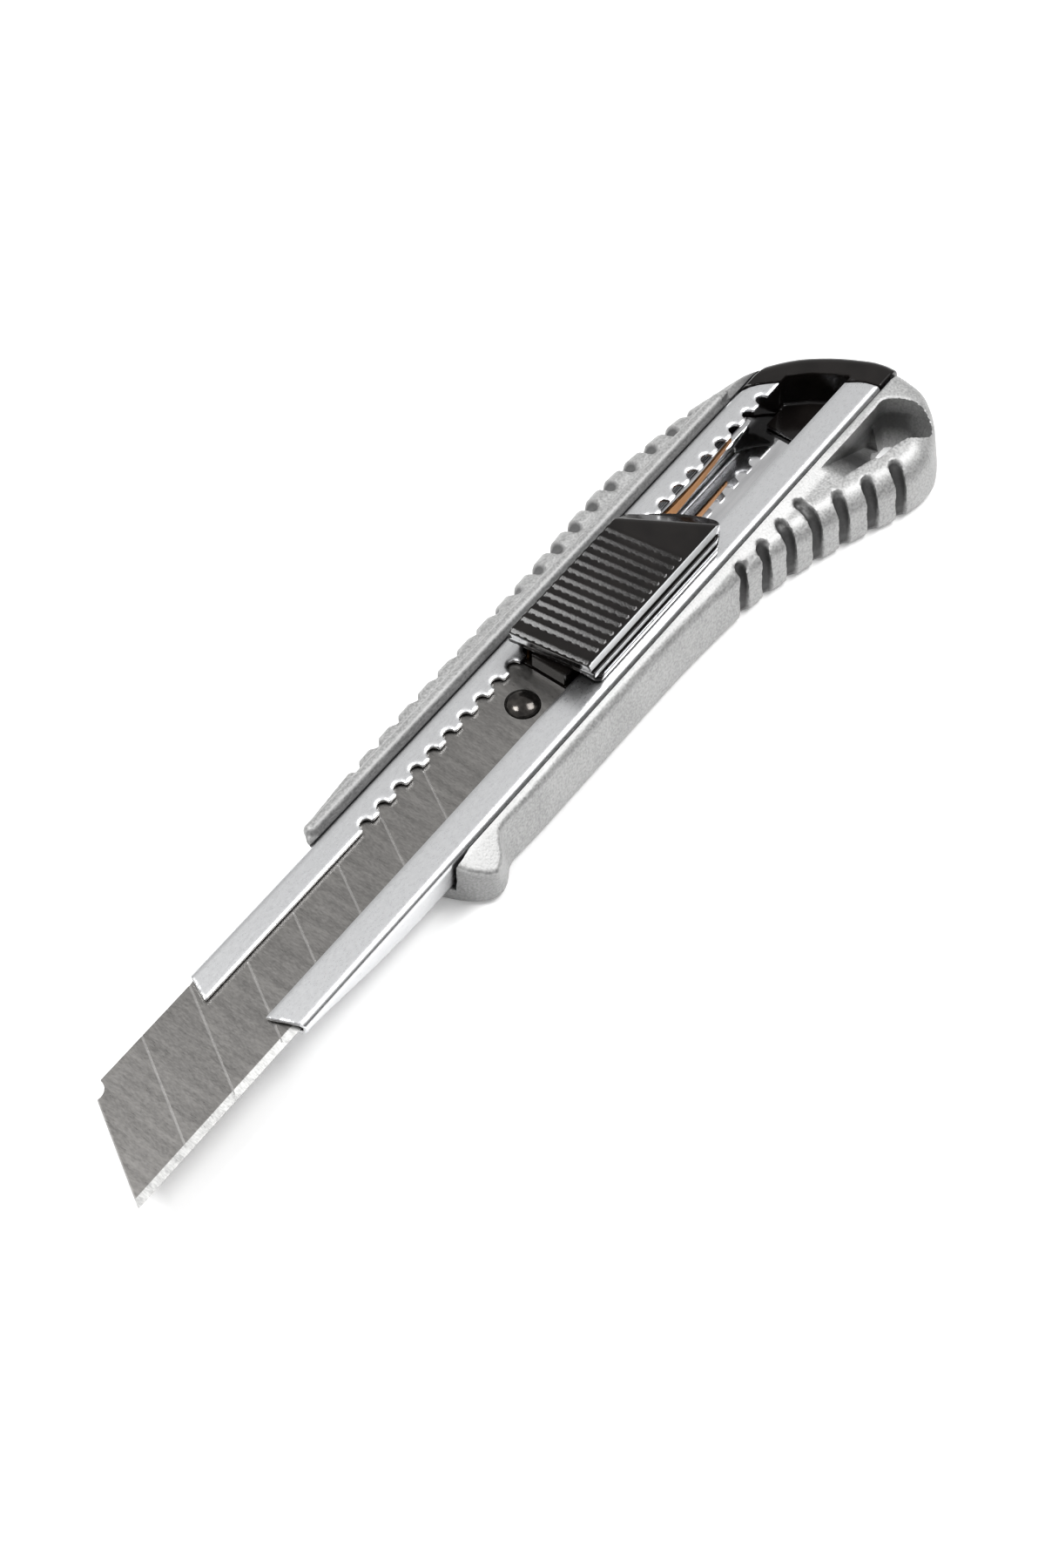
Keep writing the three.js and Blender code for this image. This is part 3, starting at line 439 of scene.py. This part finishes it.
def handle_field(x, y, z):
    body = wall_field(x, y, z)
    ridge = segment_distance((x, y, z), (RIDGE_FRONT, RIDGE_Y, RIDGE_Z), (RIDGE_REAR, RIDGE_Y, RIDGE_Z))
    body = either(body, ridge - RIDGE_RADIUS, 0.4)
    body = cut(body, segment_distance((x, y, z), *RIDGE_NOTCH) - RIDGE_NOTCH_RADIUS, 0.2)
    seam = SEAM + GUARD_SEAM * ramp(x, *GUARD_GAPS) * (y > 0)
    trough = np.maximum(np.abs(y) - CHANNEL_HALF_WIDTH - seam, floor_z(x, -GAP) - z)
    body = cut(body, trough, 0.15)
    body = cut(body, flute_field(x, y, z), 0.35)
    body = cut(body, groove_field(x, y, z), 0.3)
    body = cut(body, lanyard_field(x, y, z), 0.3)
    for rivet_x in CHANNEL_RIVETS_X:
        body = cut(body, np.hypot(x - rivet_x, y) - RIVET_RADIUS - GAP, 0.1)
    return body


# ---- channel ----
mouth_plan = Plan([*CHANNEL_MOUTH, *smooth(CHANNEL_REAR, 14)])


def slot_plan(x, y):
    """The slot between the lips, in plan, with its round locking notches and rounded teeth."""
    k = np.clip(np.round((FIRST_NOTCH_X - x) / TOOTH_PITCH), 0, TOOTH_COUNT - 1)
    notch_y = SLOT_SPINE_Y + NOTCH_RADIUS - NOTCH_DEPTH
    notch = np.hypot(x - FIRST_NOTCH_X + k * TOOTH_PITCH, y - notch_y) - NOTCH_RADIUS
    return np.maximum(either(SLOT_SPINE_Y - y, notch, 0.35), y - SLOT_EDGE_Y)


def channel_field(x, y, z):
    sides = both(np.abs(y) - CHANNEL_HALF_WIDTH, z - LIP_TOP, TOP_BEND)
    bottom_bend = MOUTH_BEND + (REAR_BEND - MOUTH_BEND) * ramp(x, *CHANNEL_BENDS)
    tube = both(sides, (floor_z(x) - z) * SLOPE_SCALE, bottom_bend)
    sheet = np.abs(tube + SHEET / 2) - SHEET / 2
    sheet = both(sheet, mouth_plan(x, y), 0.2)
    sheet = cut(sheet, np.maximum(slot_plan(x, y), -1 - z), 0.15)
    coined = (z - LIP_TOP) * math.cos(EDGE_SLOPE) + (EDGE_WIDTH - slot_plan(x, y)) * math.sin(EDGE_SLOPE)
    sheet = both(sheet, coined, 0.1)
    for rivet_x in CHANNEL_RIVETS_X:
        hole = np.hypot(x - rivet_x, y) - RIVET_RADIUS - GAP
        sheet = cut(sheet, np.maximum(hole, z - RIVET_HOLE_TOP))
    spring_hole = np.hypot(x - SPRING_RIVET_X, z - SPRING_RIVET_Z) - SPRING_RIVET_RADIUS - GAP
    return cut(sheet, np.maximum(spring_hole, y - SPRING_HOLE_Y))


# ---- end cap ----
rear_plan = Plan([(-170, -12), *smooth(REAR_ARC, 16), (-201.4, 12), (-170, 12)])
tail_plan = Plan([(-170, -9.95), *smooth(CHANNEL_REAR, 14), (-170, 9.95)])
pocket_plan = Plan(CAP_POCKET)


def end_cap_field(x, y, z):
    """The plug, outside the channel's cut end, hollow in front, with a tongue along the channel's floor."""
    height = np.abs(z - (LIP_TOP + FLOOR_OUTER) / 2) - (LIP_TOP - FLOOR_OUTER) / 2
    plug = both(rear_plan(x, y), height, CAP_ROUND)
    plug = both(plug, np.abs(y) - CHANNEL_HALF_WIDTH + GAP, 0.4)
    plug = both(plug, GAP - tail_plan(x, y), 0.25)
    plug = cut(plug, both(pocket_plan(x, y), CAP_POCKET_Z - z, 0.6), 0.25)
    return np.minimum(plug, block(x, y, z, TONGUE_LOW, TONGUE_HIGH))


# ---- slider ----
rear_line = smooth(SLIDER_REAR, 14)
base_plan = Plan([*SLIDER_FRONT, *rear_line])
pad_plan = Plan([(-104, 8.1), (-104, -8.1), *(rear_line + (GAP, 0))])
pad_facet = through((-138, -7.8, PAD_TOP), (-143.3, -7.8, PAD_SEAM + 0.45), (-150.6, 4, PAD_SEAM + 0.45))


def slider_base_field(x, y, z):
    """The lower plate, with a shadow groove around its edge."""
    middle, half = (SLIDER_BOTTOM + PAD_SEAM - GAP / 2) / 2, (PAD_SEAM - GAP / 2 - SLIDER_BOTTOM) / 2
    plate = both(base_plan(x, y), np.abs(z - middle) - half, 0.25)
    shadow = np.maximum(np.abs(z - BASE_GROOVE_Z) - BASE_GROOVE_HALF, -BASE_GROOVE_DEPTH - base_plan(x, y))
    return cut(plate, shadow, 0.08)


def rib_groove_field(x, y, z):
    """Grooves between the ribs: a long slope towards the front, a steep back, and a round end."""
    across = (x - FIRST_RIB_X + math.tan(RIB_SLANT) * y) * math.cos(RIB_SLANT)
    k = np.clip(np.round(-across / RIB_PITCH), 0, RIB_COUNT - 1)
    u = across + k * RIB_PITCH
    height = z - PAD_TOP + RIB_DEPTH
    long_side = (RIB_FOOT - u) * math.sin(RIB_SLOPE) - height * math.cos(RIB_SLOPE)
    steep_side = (u - RIB_FOOT) * math.sin(RIB_BACK) - height * math.cos(RIB_BACK)
    end = np.hypot(u, np.maximum(y - RIB_END_Y, 0)) - RIB_END_RADIUS
    return both(both(long_side, steep_side, 0.1), end, 0.1)


def pad_section(y, z):
    """Section of the pad: a block over a flange, with a shadow groove between them."""
    upper = both(np.abs(y) - PAD_HALF + PAD_LEAN * (z - FLANGE_TOP), z - PAD_TOP, 0.25)
    flange = both(np.abs(y) - FLANGE_HALF, z - FLANGE_TOP, 0.2)
    shadow = np.hypot(np.abs(y) - PAD_GROOVE_Y, z - PAD_GROOVE_Z) - PAD_GROOVE_RADIUS
    return np.minimum(cut(upper, shadow), flange)


def pad_front(x, y, z):
    """The pad's front end: slanted like the ribs, leaning, chamfered along the top, with a ledge below."""
    front = x - PAD_FRONT_X + math.tan(RIB_SLANT) * y
    nose = both(front * NOSE_SCALE + NOSE_SLOPE * np.maximum(NOSE_TOP - z, 0), z - PAD_TOP, 0.1)
    chamfer = front * math.sin(RIB_SLOPE) + (z - PAD_TOP) * math.cos(RIB_SLOPE) + NOSE_CHAMFER
    ledge = both(front * SLOPE_SCALE + LEDGE_SETBACK, z - LEDGE_TOP, 0.25)
    return np.minimum(both(nose, chamfer, 0.1), ledge)


def slider_pad_field(x, y, z):
    pad = both(pad_section(y, z), pad_front(x, y, z), 0.25)
    pad = both(pad, PAD_SEAM + GAP / 2 - z, 0.1)
    pad = both(pad, pad_plan(x, y), 0.3)
    pad = both(pad, pad_facet(x, y, z), 0.5)
    return cut(pad, rib_groove_field(x, y, z), 0.12)


def carrier_field(x, y, z):
    """A plate level with the blade, a keel and an arm under it, and a stem up through the slot."""
    def bar(rear, front, half, low, high):
        return block(x, y, z, (rear, -half, low), (front, half, high), 0.3, 0.15)

    rear, front = CARRIER_REAR, CARRIER_FRONT
    plate = bar(rear, front, CARRIER_HALF, UNDER_BLADE - 0.05, 0.05)
    keel = bar(rear, front, KEEL_HALF, KEEL_Z, UNDER_BLADE + 0.1)
    arm = bar(front - 1, STUD_X, ARM_HALF, ARM_Z, UNDER_BLADE)
    tip = both(np.hypot(x - STUD_X, y) - TIP_RADIUS, np.abs(z - TIP_Z) - TIP_HALF, 0.15)
    step = bar(rear, front, STEM_HALF, STEM_FOOT, STEP_TOP)
    stem = bar(front - STEM_LENGTH, front, STEM_HALF, STEM_FOOT, STEM_TOP)
    return np.minimum.reduce([plate, keel, arm, tip, step, stem])


def lathe(profile, centre, segments=64):
    """Points and faces of an upright turned solid. The profile is radius and height, from axis to axis."""
    vertices, faces = [], []
    rings = profile[1:-1]
    for radius, height in rings:
        for i in range(segments):
            angle = 2 * math.pi * i / segments
            vertices.append((radius * math.cos(angle), radius * math.sin(angle), height))
    low, high = len(vertices), len(vertices) + 1
    vertices += [(0, 0, profile[0][1]), (0, 0, profile[-1][1])]
    for i in range(segments):
        j = (i + 1) % segments
        faces.append((low, j, i))
        for k in range(len(rings) - 1):
            a, b = k * segments, (k + 1) * segments
            faces.append((a + i, a + j, b + j, b + i))
        top = (len(rings) - 1) * segments
        faces.append((high, top + i, top + j))
    return [tuple(c + d for c, d in zip(p, centre)) for p in vertices], faces


# ---- materials ----
def map_range(tree, value, low, high, to_low=0.0, to_high=1.0):
    """A node that carries a value from one range to another, in any node tree."""
    made = tree.nodes.new("ShaderNodeMapRange")
    tree.links.new(value, made.inputs["Value"])
    for key, number in (("From Min", low), ("From Max", high), ("To Min", to_low), ("To Max", to_high)):
        made.inputs[key].default_value = number
    return made.outputs[0]


class Look:
    """A Principled material with helpers for procedural detail. Scales are features per mm."""

    def __init__(self, name, metallic, **values):
        self.material = bpy.data.materials.new(name)
        self.material.use_nodes = True
        self.tree = self.material.node_tree
        self.shader = self.tree.nodes["Principled BSDF"]
        self.shader.inputs["Metallic"].default_value = metallic
        for socket, value in values.items():
            self.shader.inputs[socket].default_value = value
        self.place = self.node("ShaderNodeTexCoord").outputs["Object"]

    def node(self, kind, **settings):
        made = self.tree.nodes.new(kind)
        for key, value in settings.items():
            setattr(made, key, value)
        return made

    def link(self, output, target):
        self.tree.links.new(output, target)

    def noise(self, scale, detail=3, stretch=(1, 1, 1)):
        mapping = self.node("ShaderNodeMapping")
        self.link(self.place, mapping.inputs["Vector"])
        mapping.inputs["Scale"].default_value = [s * scale / MM for s in stretch]
        noise = self.node("ShaderNodeTexNoise")
        noise.inputs["Scale"].default_value = 1
        noise.inputs["Detail"].default_value = detail
        self.link(mapping.outputs[0], noise.inputs["Vector"])
        return noise.outputs["Fac"]

    def math(self, operation, a, b=0.0):
        made = self.node("ShaderNodeMath", operation=operation)
        for socket, value in zip(made.inputs, (a, b)):
            if isinstance(value, (int, float)):
                socket.default_value = value
            else:
                self.link(value, socket)
        return made.outputs[0]

    def mix(self, factor, a, b):
        made = self.node("ShaderNodeMix", data_type="RGBA")
        for key, kind, value in (("Factor", "VALUE", factor), ("A", "RGBA", a), ("B", "RGBA", b)):
            socket = next(s for s in made.inputs if s.name == key and s.type == kind)
            if isinstance(value, tuple):
                socket.default_value = (*value, 1)
            else:
                self.link(value, socket)
        return next(s for s in made.outputs if s.type == "RGBA")

    def spread(self, value, low, high, to_low=0.0, to_high=1.0):
        return map_range(self.tree, value, low, high, to_low, to_high)

    def blend(self, a, b, share):
        """Two noises added together, the first with this share."""
        return self.math("ADD", self.math("MULTIPLY", a, share), self.math("MULTIPLY", b, 1 - share))

    def colour(self, factor, a, b):
        self.link(self.mix(factor, a, b), self.shader.inputs["Base Color"])

    def roughness(self, factor, low, high):
        self.link(self.spread(factor, 0.3, 0.7, low, high), self.shader.inputs["Roughness"])

    def bump(self, height, depth_mm):
        made = self.node("ShaderNodeBump")
        made.inputs["Strength"].default_value = 1
        made.inputs["Distance"].default_value = depth_mm * MM
        self.link(height, made.inputs["Height"])
        self.link(made.outputs[0], self.shader.inputs["Normal"])


def cast_alloy():
    look = Look("cast_alloy", 0.7)
    grain = look.noise(2.4, 4)
    blotch = look.noise(0.15, 3)
    tone = look.blend(grain, blotch, 0.8)
    skin = look.mix(look.spread(tone, 0.36, 0.62), (0.3, 0.3, 0.298), (0.48, 0.48, 0.477))
    # Painted shade: this per-vertex value darkens the casting towards near-black in its hollows, beside the
    # channel and on the guard's front.
    painted_shade = look.node("ShaderNodeAttribute", attribute_name="painted_shade").outputs["Fac"]
    look.colour(look.spread(painted_shade, 0.05, 0.75, 0.0, 0.9), skin, (0.06, 0.06, 0.06))
    look.roughness(grain, 0.42, 0.58)
    look.bump(grain, 0.05)
    return look.material


def sheet_steel():
    look = Look("sheet_steel", 1.0)
    grain = look.noise(2.4, 4, (0.4, 1, 1))
    fine = look.noise(7, 2, (0.6, 1, 1))
    tone = look.blend(grain, fine, 0.5)
    look.colour(look.spread(tone, 0.38, 0.62), (0.68, 0.685, 0.695), (0.715, 0.72, 0.73))
    look.roughness(tone, 0.26, 0.32)
    look.bump(tone, 0.0004)
    return look.material


def polished_steel():
    look = Look("polished_steel", 1.0)
    streak = look.noise(0.5, 3, (0.2, 1, 1))
    look.colour(look.spread(streak, 0.35, 0.65), (0.62, 0.62, 0.63), (0.76, 0.76, 0.77))
    look.roughness(streak, 0.03, 0.08)
    look.bump(streak, 0.004)
    return look.material


def blade_steel():
    look = Look("blade_steel", 1.0)
    split = look.node("ShaderNodeSeparateXYZ")
    look.link(look.place, split.inputs[0])
    edge = look.math("SUBTRACT", split.outputs["Y"], mm(0, BEVEL_Y, 0).y)
    bevel = look.spread(edge, 0, BEVEL_BLUR * MM)
    streak = look.noise(0.9, 4, (1, 0.12, 1))
    fine = look.noise(5, 2, (1, 0.3, 1))
    tone = look.blend(streak, fine, 0.45)
    face = look.mix(look.spread(tone, 0.38, 0.62), (0.195, 0.189, 0.182), (0.23, 0.223, 0.214))
    ground = look.mix(look.spread(tone, 0.4, 0.6), (0.44, 0.44, 0.435), (0.56, 0.56, 0.55))
    # Painted highlight: the score lines are painted lighter than the faces beside them, in place of the light
    # their cut sides catch.
    slope, pitch, width = math.tan(SCORE_ANGLE), SCORE_PITCH * MM, SCORE_WIDTH * MM
    start = mm(0, SCORE_START_Y, 0)
    along = look.math("SUBTRACT", split.outputs["X"], start.x - slope * start.y)
    along = look.math("SUBTRACT", along, look.math("MULTIPLY", split.outputs["Y"], slope))
    wrapped = look.math("WRAP", along, pitch / 2)
    wrapped.node.inputs[2].default_value = -pitch / 2
    away = look.math("ABSOLUTE", wrapped)
    score_highlight = look.math("MULTIPLY", look.spread(away, width / 2, width, 0.45, 0),
                       look.math("GREATER_THAN", along, -SCORE_COUNT * pitch))
    look.colour(bevel, look.mix(score_highlight, face, (0.5, 0.49, 0.48)), ground)
    look.roughness(tone, 0.26, 0.4)
    look.bump(tone, 0.003)
    return look.material


def black_plastic():
    look = Look("black_plastic", 0.0, **{"Specular IOR Level": 0.3})
    grain = look.noise(3, 3)
    blotch = look.noise(0.2, 2)
    look.colour(look.spread(blotch, 0.35, 0.65), (0.004, 0.0032, 0.003), (0.008, 0.0066, 0.006))
    look.roughness(grain, 0.1, 0.17)
    look.bump(grain, 0.005)
    return look.material


def bronze():
    look = Look("bronze", 1.0, **{"Specular Tint": (0.76, 0.62, 0.52, 1)})
    streak = look.noise(1.2, 3, (0.15, 1, 1))
    look.colour(look.spread(streak, 0.35, 0.65), (0.09, 0.042, 0.018), (0.15, 0.075, 0.034))
    look.roughness(streak, 0.3, 0.44)
    look.bump(streak, 0.01)
    return look.material


def dark_steel():
    look = Look("dark_steel", 0.9)
    smear = look.noise(0.8, 3)
    look.colour(look.spread(smear, 0.35, 0.65), (0.035, 0.032, 0.03), (0.07, 0.065, 0.06))
    look.roughness(smear, 0.1, 0.2)
    look.bump(smear, 0.01)
    return look.material


looks = {
    make.__name__: make()
    for make in (cast_alloy, sheet_steel, polished_steel, blade_steel, black_plastic, bronze, dark_steel)
}

# Every carried-over CAD node takes the material of its record slot.
for part in frame["record"]["subparts"]:
    node = frame["nodes"][part["node"]]
    node.data.materials.clear()
    node.data.materials.append(looks[part["material_slot"]])

# ---- pieces ----
COARSEN = 1.0


def solid(name, field, low, high, step, body, slot):
    """A finished solid in place of the CAD node of the same name.

    It is looked for between the corners low and high, and meshed in steps of about this many mm.
    """
    vertices, faces = contour(field, low, high, step * COARSEN)
    return piece(name + "_shape", vertices, faces, body, slot, looks[slot], replaces=(name,))


handle = solid("handle_body", handle_field, (-201.5, -18.2, BODY_BOTTOM), (-61.2, 26.2, 1.6), 0.42,
               "handle", "cast_alloy")
channel = solid("blade_channel", channel_field, (-195.3, -9.95, FLOOR_OUTER), (-31, 9.95, LIP_TOP), 0.36,
                "handle", "sheet_steel")
solid("end_cap", end_cap_field, (-201.5, -9.7, FLOOR_OUTER), (-178.5, 9.7, LIP_TOP), 0.3,
      "end_cap", "black_plastic")
base = solid("slider_base", slider_base_field, (-151.1, -8.2, SLIDER_BOTTOM), (-112.8, 8.2, PAD_SEAM), 0.24,
             "slider", "black_plastic")
pad = solid("slider_pad", slider_pad_field, (-150.8, -7.9, PAD_SEAM), (-107.6, 7.9, PAD_TOP), 0.2,
            "slider", "black_plastic")
solid("blade_carrier", carrier_field, (-143, -8.9, -3.9), (-99.7, 8.9, 3.3), 0.3,
      "slider", "black_plastic")


def dome(radius, rim, top, steps=10):
    return [(radius * math.cos(a), rim + (top - rim) * math.sin(a))
            for a in (math.pi / 2 * i / steps for i in range(steps))]


stud = [(0, STUD_FOOT), (STUD_RADIUS - 0.2, STUD_FOOT), (STUD_RADIUS, STUD_FOOT + 0.1),
        *dome(STUD_RADIUS, STUD_RIM, STUD_TOP), (0, STUD_TOP)]
piece("stud", *lathe(stud, (STUD_X, 0, 0)), "slider", "dark_steel",
      looks["dark_steel"], replaces=("blade_stud",))


# ---- finishes that change across a piece ----
def vectors(elements, name):
    """One vector of every vertex or face, as rows of x, y and z."""
    values = np.empty(len(elements) * 3)
    elements.foreach_get(name, values)
    return values.reshape(-1, 3).T


def working(places):
    """World places in metres, as rows, in working-datum mm."""
    return (places - np.array(DATUM)[:, None]) / MM


# Painted shade on the casting: how deep it goes in the lanyard hole, and how strong it is beside the channel
# and on the guard's front.
LANYARD_FRONT, LANYARD_SHADE_DEPTH = -172, 5.5  # the painted shade in the lanyard hole deepens over this depth, elsewhere over 1 mm
BESIDE_SHADE, FRONT_SHADE, FRONT_SHADE_RAMP = 0.75, 0.3, (-78.5, -75.5)


def painted_shade_depth(x, y, z):
    """Painted shade: how dark the casting is painted in its hollows, beside the channel and on the guard's
    front.
    """
    in_lanyard = (x < LANYARD_FRONT) & (y > LANYARD_Y - 0.5) & (groove_field(x, y, z) > 0.3)
    depth = -wall_field(x, y, z) / np.where(in_lanyard, LANYARD_SHADE_DEPTH, 1)
    # Painted shade on the band between the ridge and the channel.
    beside = BESIDE_SHADE * ramp(y, RIDGE_Y - 0.5, -CHANNEL_HALF_WIDTH) * (y < 0) * (z > -1)
    # Painted shade on the guard's front face, below the crown.
    below_crown = ramp(crown_z(x, y) - z, 0.3, 0.9)
    on_front = FRONT_SHADE * ramp(x, *FRONT_SHADE_RAMP) * (y > CHANNEL_HALF_WIDTH - 2) * below_crown
    return np.clip(np.maximum(np.maximum(depth, beside), on_front), 0, 1)


def paint(obj, chosen, look):
    """Gives the chosen faces of a piece a second material."""
    obj.data.materials.append(looks[look])
    obj.data.polygons.foreach_set("material_index", chosen.astype(np.int32))


# The painted shade is stored on the handle's vertices, for the cast_alloy material to read.
painted_shade = handle.data.attributes.new("painted_shade", "FLOAT", "POINT")
painted_shade.data.foreach_set("value", painted_shade_depth(*working(vectors(handle.data.vertices, "co"))))

# The channel is polished inside, under the lips and above the floor's middle plane.
face_x, face_y, face_z = working(vectors(channel.data.polygons, "center"))
inside = (face_z < 0) & (np.abs(face_y) < CHANNEL_HALF_WIDTH - SHEET / 2)
paint(channel, inside & (face_z > floor_z(face_x) + SHEET / 2), "polished_steel")

# The bands along the slider's sides are bright, up to just behind each piece's front end.
SIDE_ON = 0.85
for obj, front in ((base, -114.6), (pad, -111.3)):
    face_x = working(vectors(obj.data.polygons, "center"))[0]
    paint(obj, (np.abs(vectors(obj.data.polygons, "normal")[1]) > SIDE_ON) & (face_x < front), "sheet_steel")


# ---- studio ----
SKY, SKY_DARK = 0.62, 0.06
FLOOR_HALF, FLOOR_GLOW = 3, 0.14


def make_world():
    """A white room, dark low down on the cutting edge's side."""
    world = bpy.data.worlds.new("studio")
    scene.world = world
    world.use_nodes = True
    tree = world.node_tree
    split = tree.nodes.new("ShaderNodeSeparateXYZ")
    tree.links.new(tree.nodes.new("ShaderNodeTexCoord").outputs["Generated"], split.inputs[0])
    light = tree.nodes.new("ShaderNodeMix")
    tree.links.new(map_range(tree, split.outputs["Z"], 0.42, 0.58), light.inputs["Factor"])
    tree.links.new(map_range(tree, split.outputs["Y"], 0.15, 0.4, SKY, SKY_DARK), light.inputs["A"])
    light.inputs["B"].default_value = SKY
    background = tree.nodes["Background"]
    tree.links.new(light.outputs["Result"], background.inputs["Strength"])
    background.inputs["Color"].default_value = (1, 1, 1, 1)


def softbox(name, place, size, power):
    """A rectangular light, aimed at the knife."""
    data = bpy.data.lights.new(name, "AREA")
    data.shape = "RECTANGLE"
    data.size, data.size_y = size
    data.energy = power
    obj = bpy.data.objects.new(name, data)
    obj.location = place
    obj.rotation_mode = "QUATERNION"
    obj.rotation_quaternion = (Vector((-0.03, 0, 0)) - Vector(place)).to_track_quat("-Z", "Y")
    scene.collection.objects.link(obj)


def make_floor():
    look = Look("floor", 0.0, Roughness=0.9)
    look.colour(look.noise(0.02, 2), (0.93, 0.93, 0.93), (0.95, 0.95, 0.95))
    look.shader.inputs["Specular IOR Level"].default_value = 0.2
    look.shader.inputs["Emission Color"].default_value = (1, 1, 1, 1)
    look.shader.inputs["Emission Strength"].default_value = FLOOR_GLOW
    mesh = bpy.data.meshes.new("floor")
    corners = [(x * FLOOR_HALF, y * FLOOR_HALF, 0) for x, y in ((-1, -1), (1, -1), (1, 1), (-1, 1))]
    mesh.from_pydata(corners, [], [(0, 1, 2, 3)])
    mesh.materials.append(look.material)
    floor = bpy.data.objects.new("floor", mesh)
    scene.collection.objects.link(floor)


make_world()
softbox("overhead", (-0.5, 0.26, 0.95), (0.5, 0.46), 7.6)
softbox("crest", (0.24, -0.37, 0.93), (0.34, 0.3), 6)
make_floor()


# ---- camera ----
AZIMUTH, ELEVATION, DISTANCE = 2.211708, 0.974643, 0.414906  # radians, radians and metres
AIM = mm(-91.013, 9.226, 0)
SENSOR, FOCAL_RATIO = 36, 3022.72 / 1800  # the lens's focal length, over the long side of the frame


def make_camera():
    data = bpy.data.cameras.new("camera")
    cam = bpy.data.objects.new("camera", data)
    scene.collection.objects.link(cam)
    across = math.cos(ELEVATION)
    back = Vector((math.sin(AZIMUTH) * across, -math.cos(AZIMUTH) * across, math.sin(ELEVATION)))
    cam.location = AIM + back * DISTANCE
    cam.rotation_mode = "QUATERNION"
    cam.rotation_quaternion = (-back).to_track_quat("-Z", "Y")
    data.sensor_width = SENSOR
    data.sensor_fit = "AUTO"
    data.lens = FOCAL_RATIO * SENSOR
    data.clip_start, data.clip_end = 0.01, 10
    scene.camera = cam


make_camera()
scene.view_settings.view_transform = "Standard"
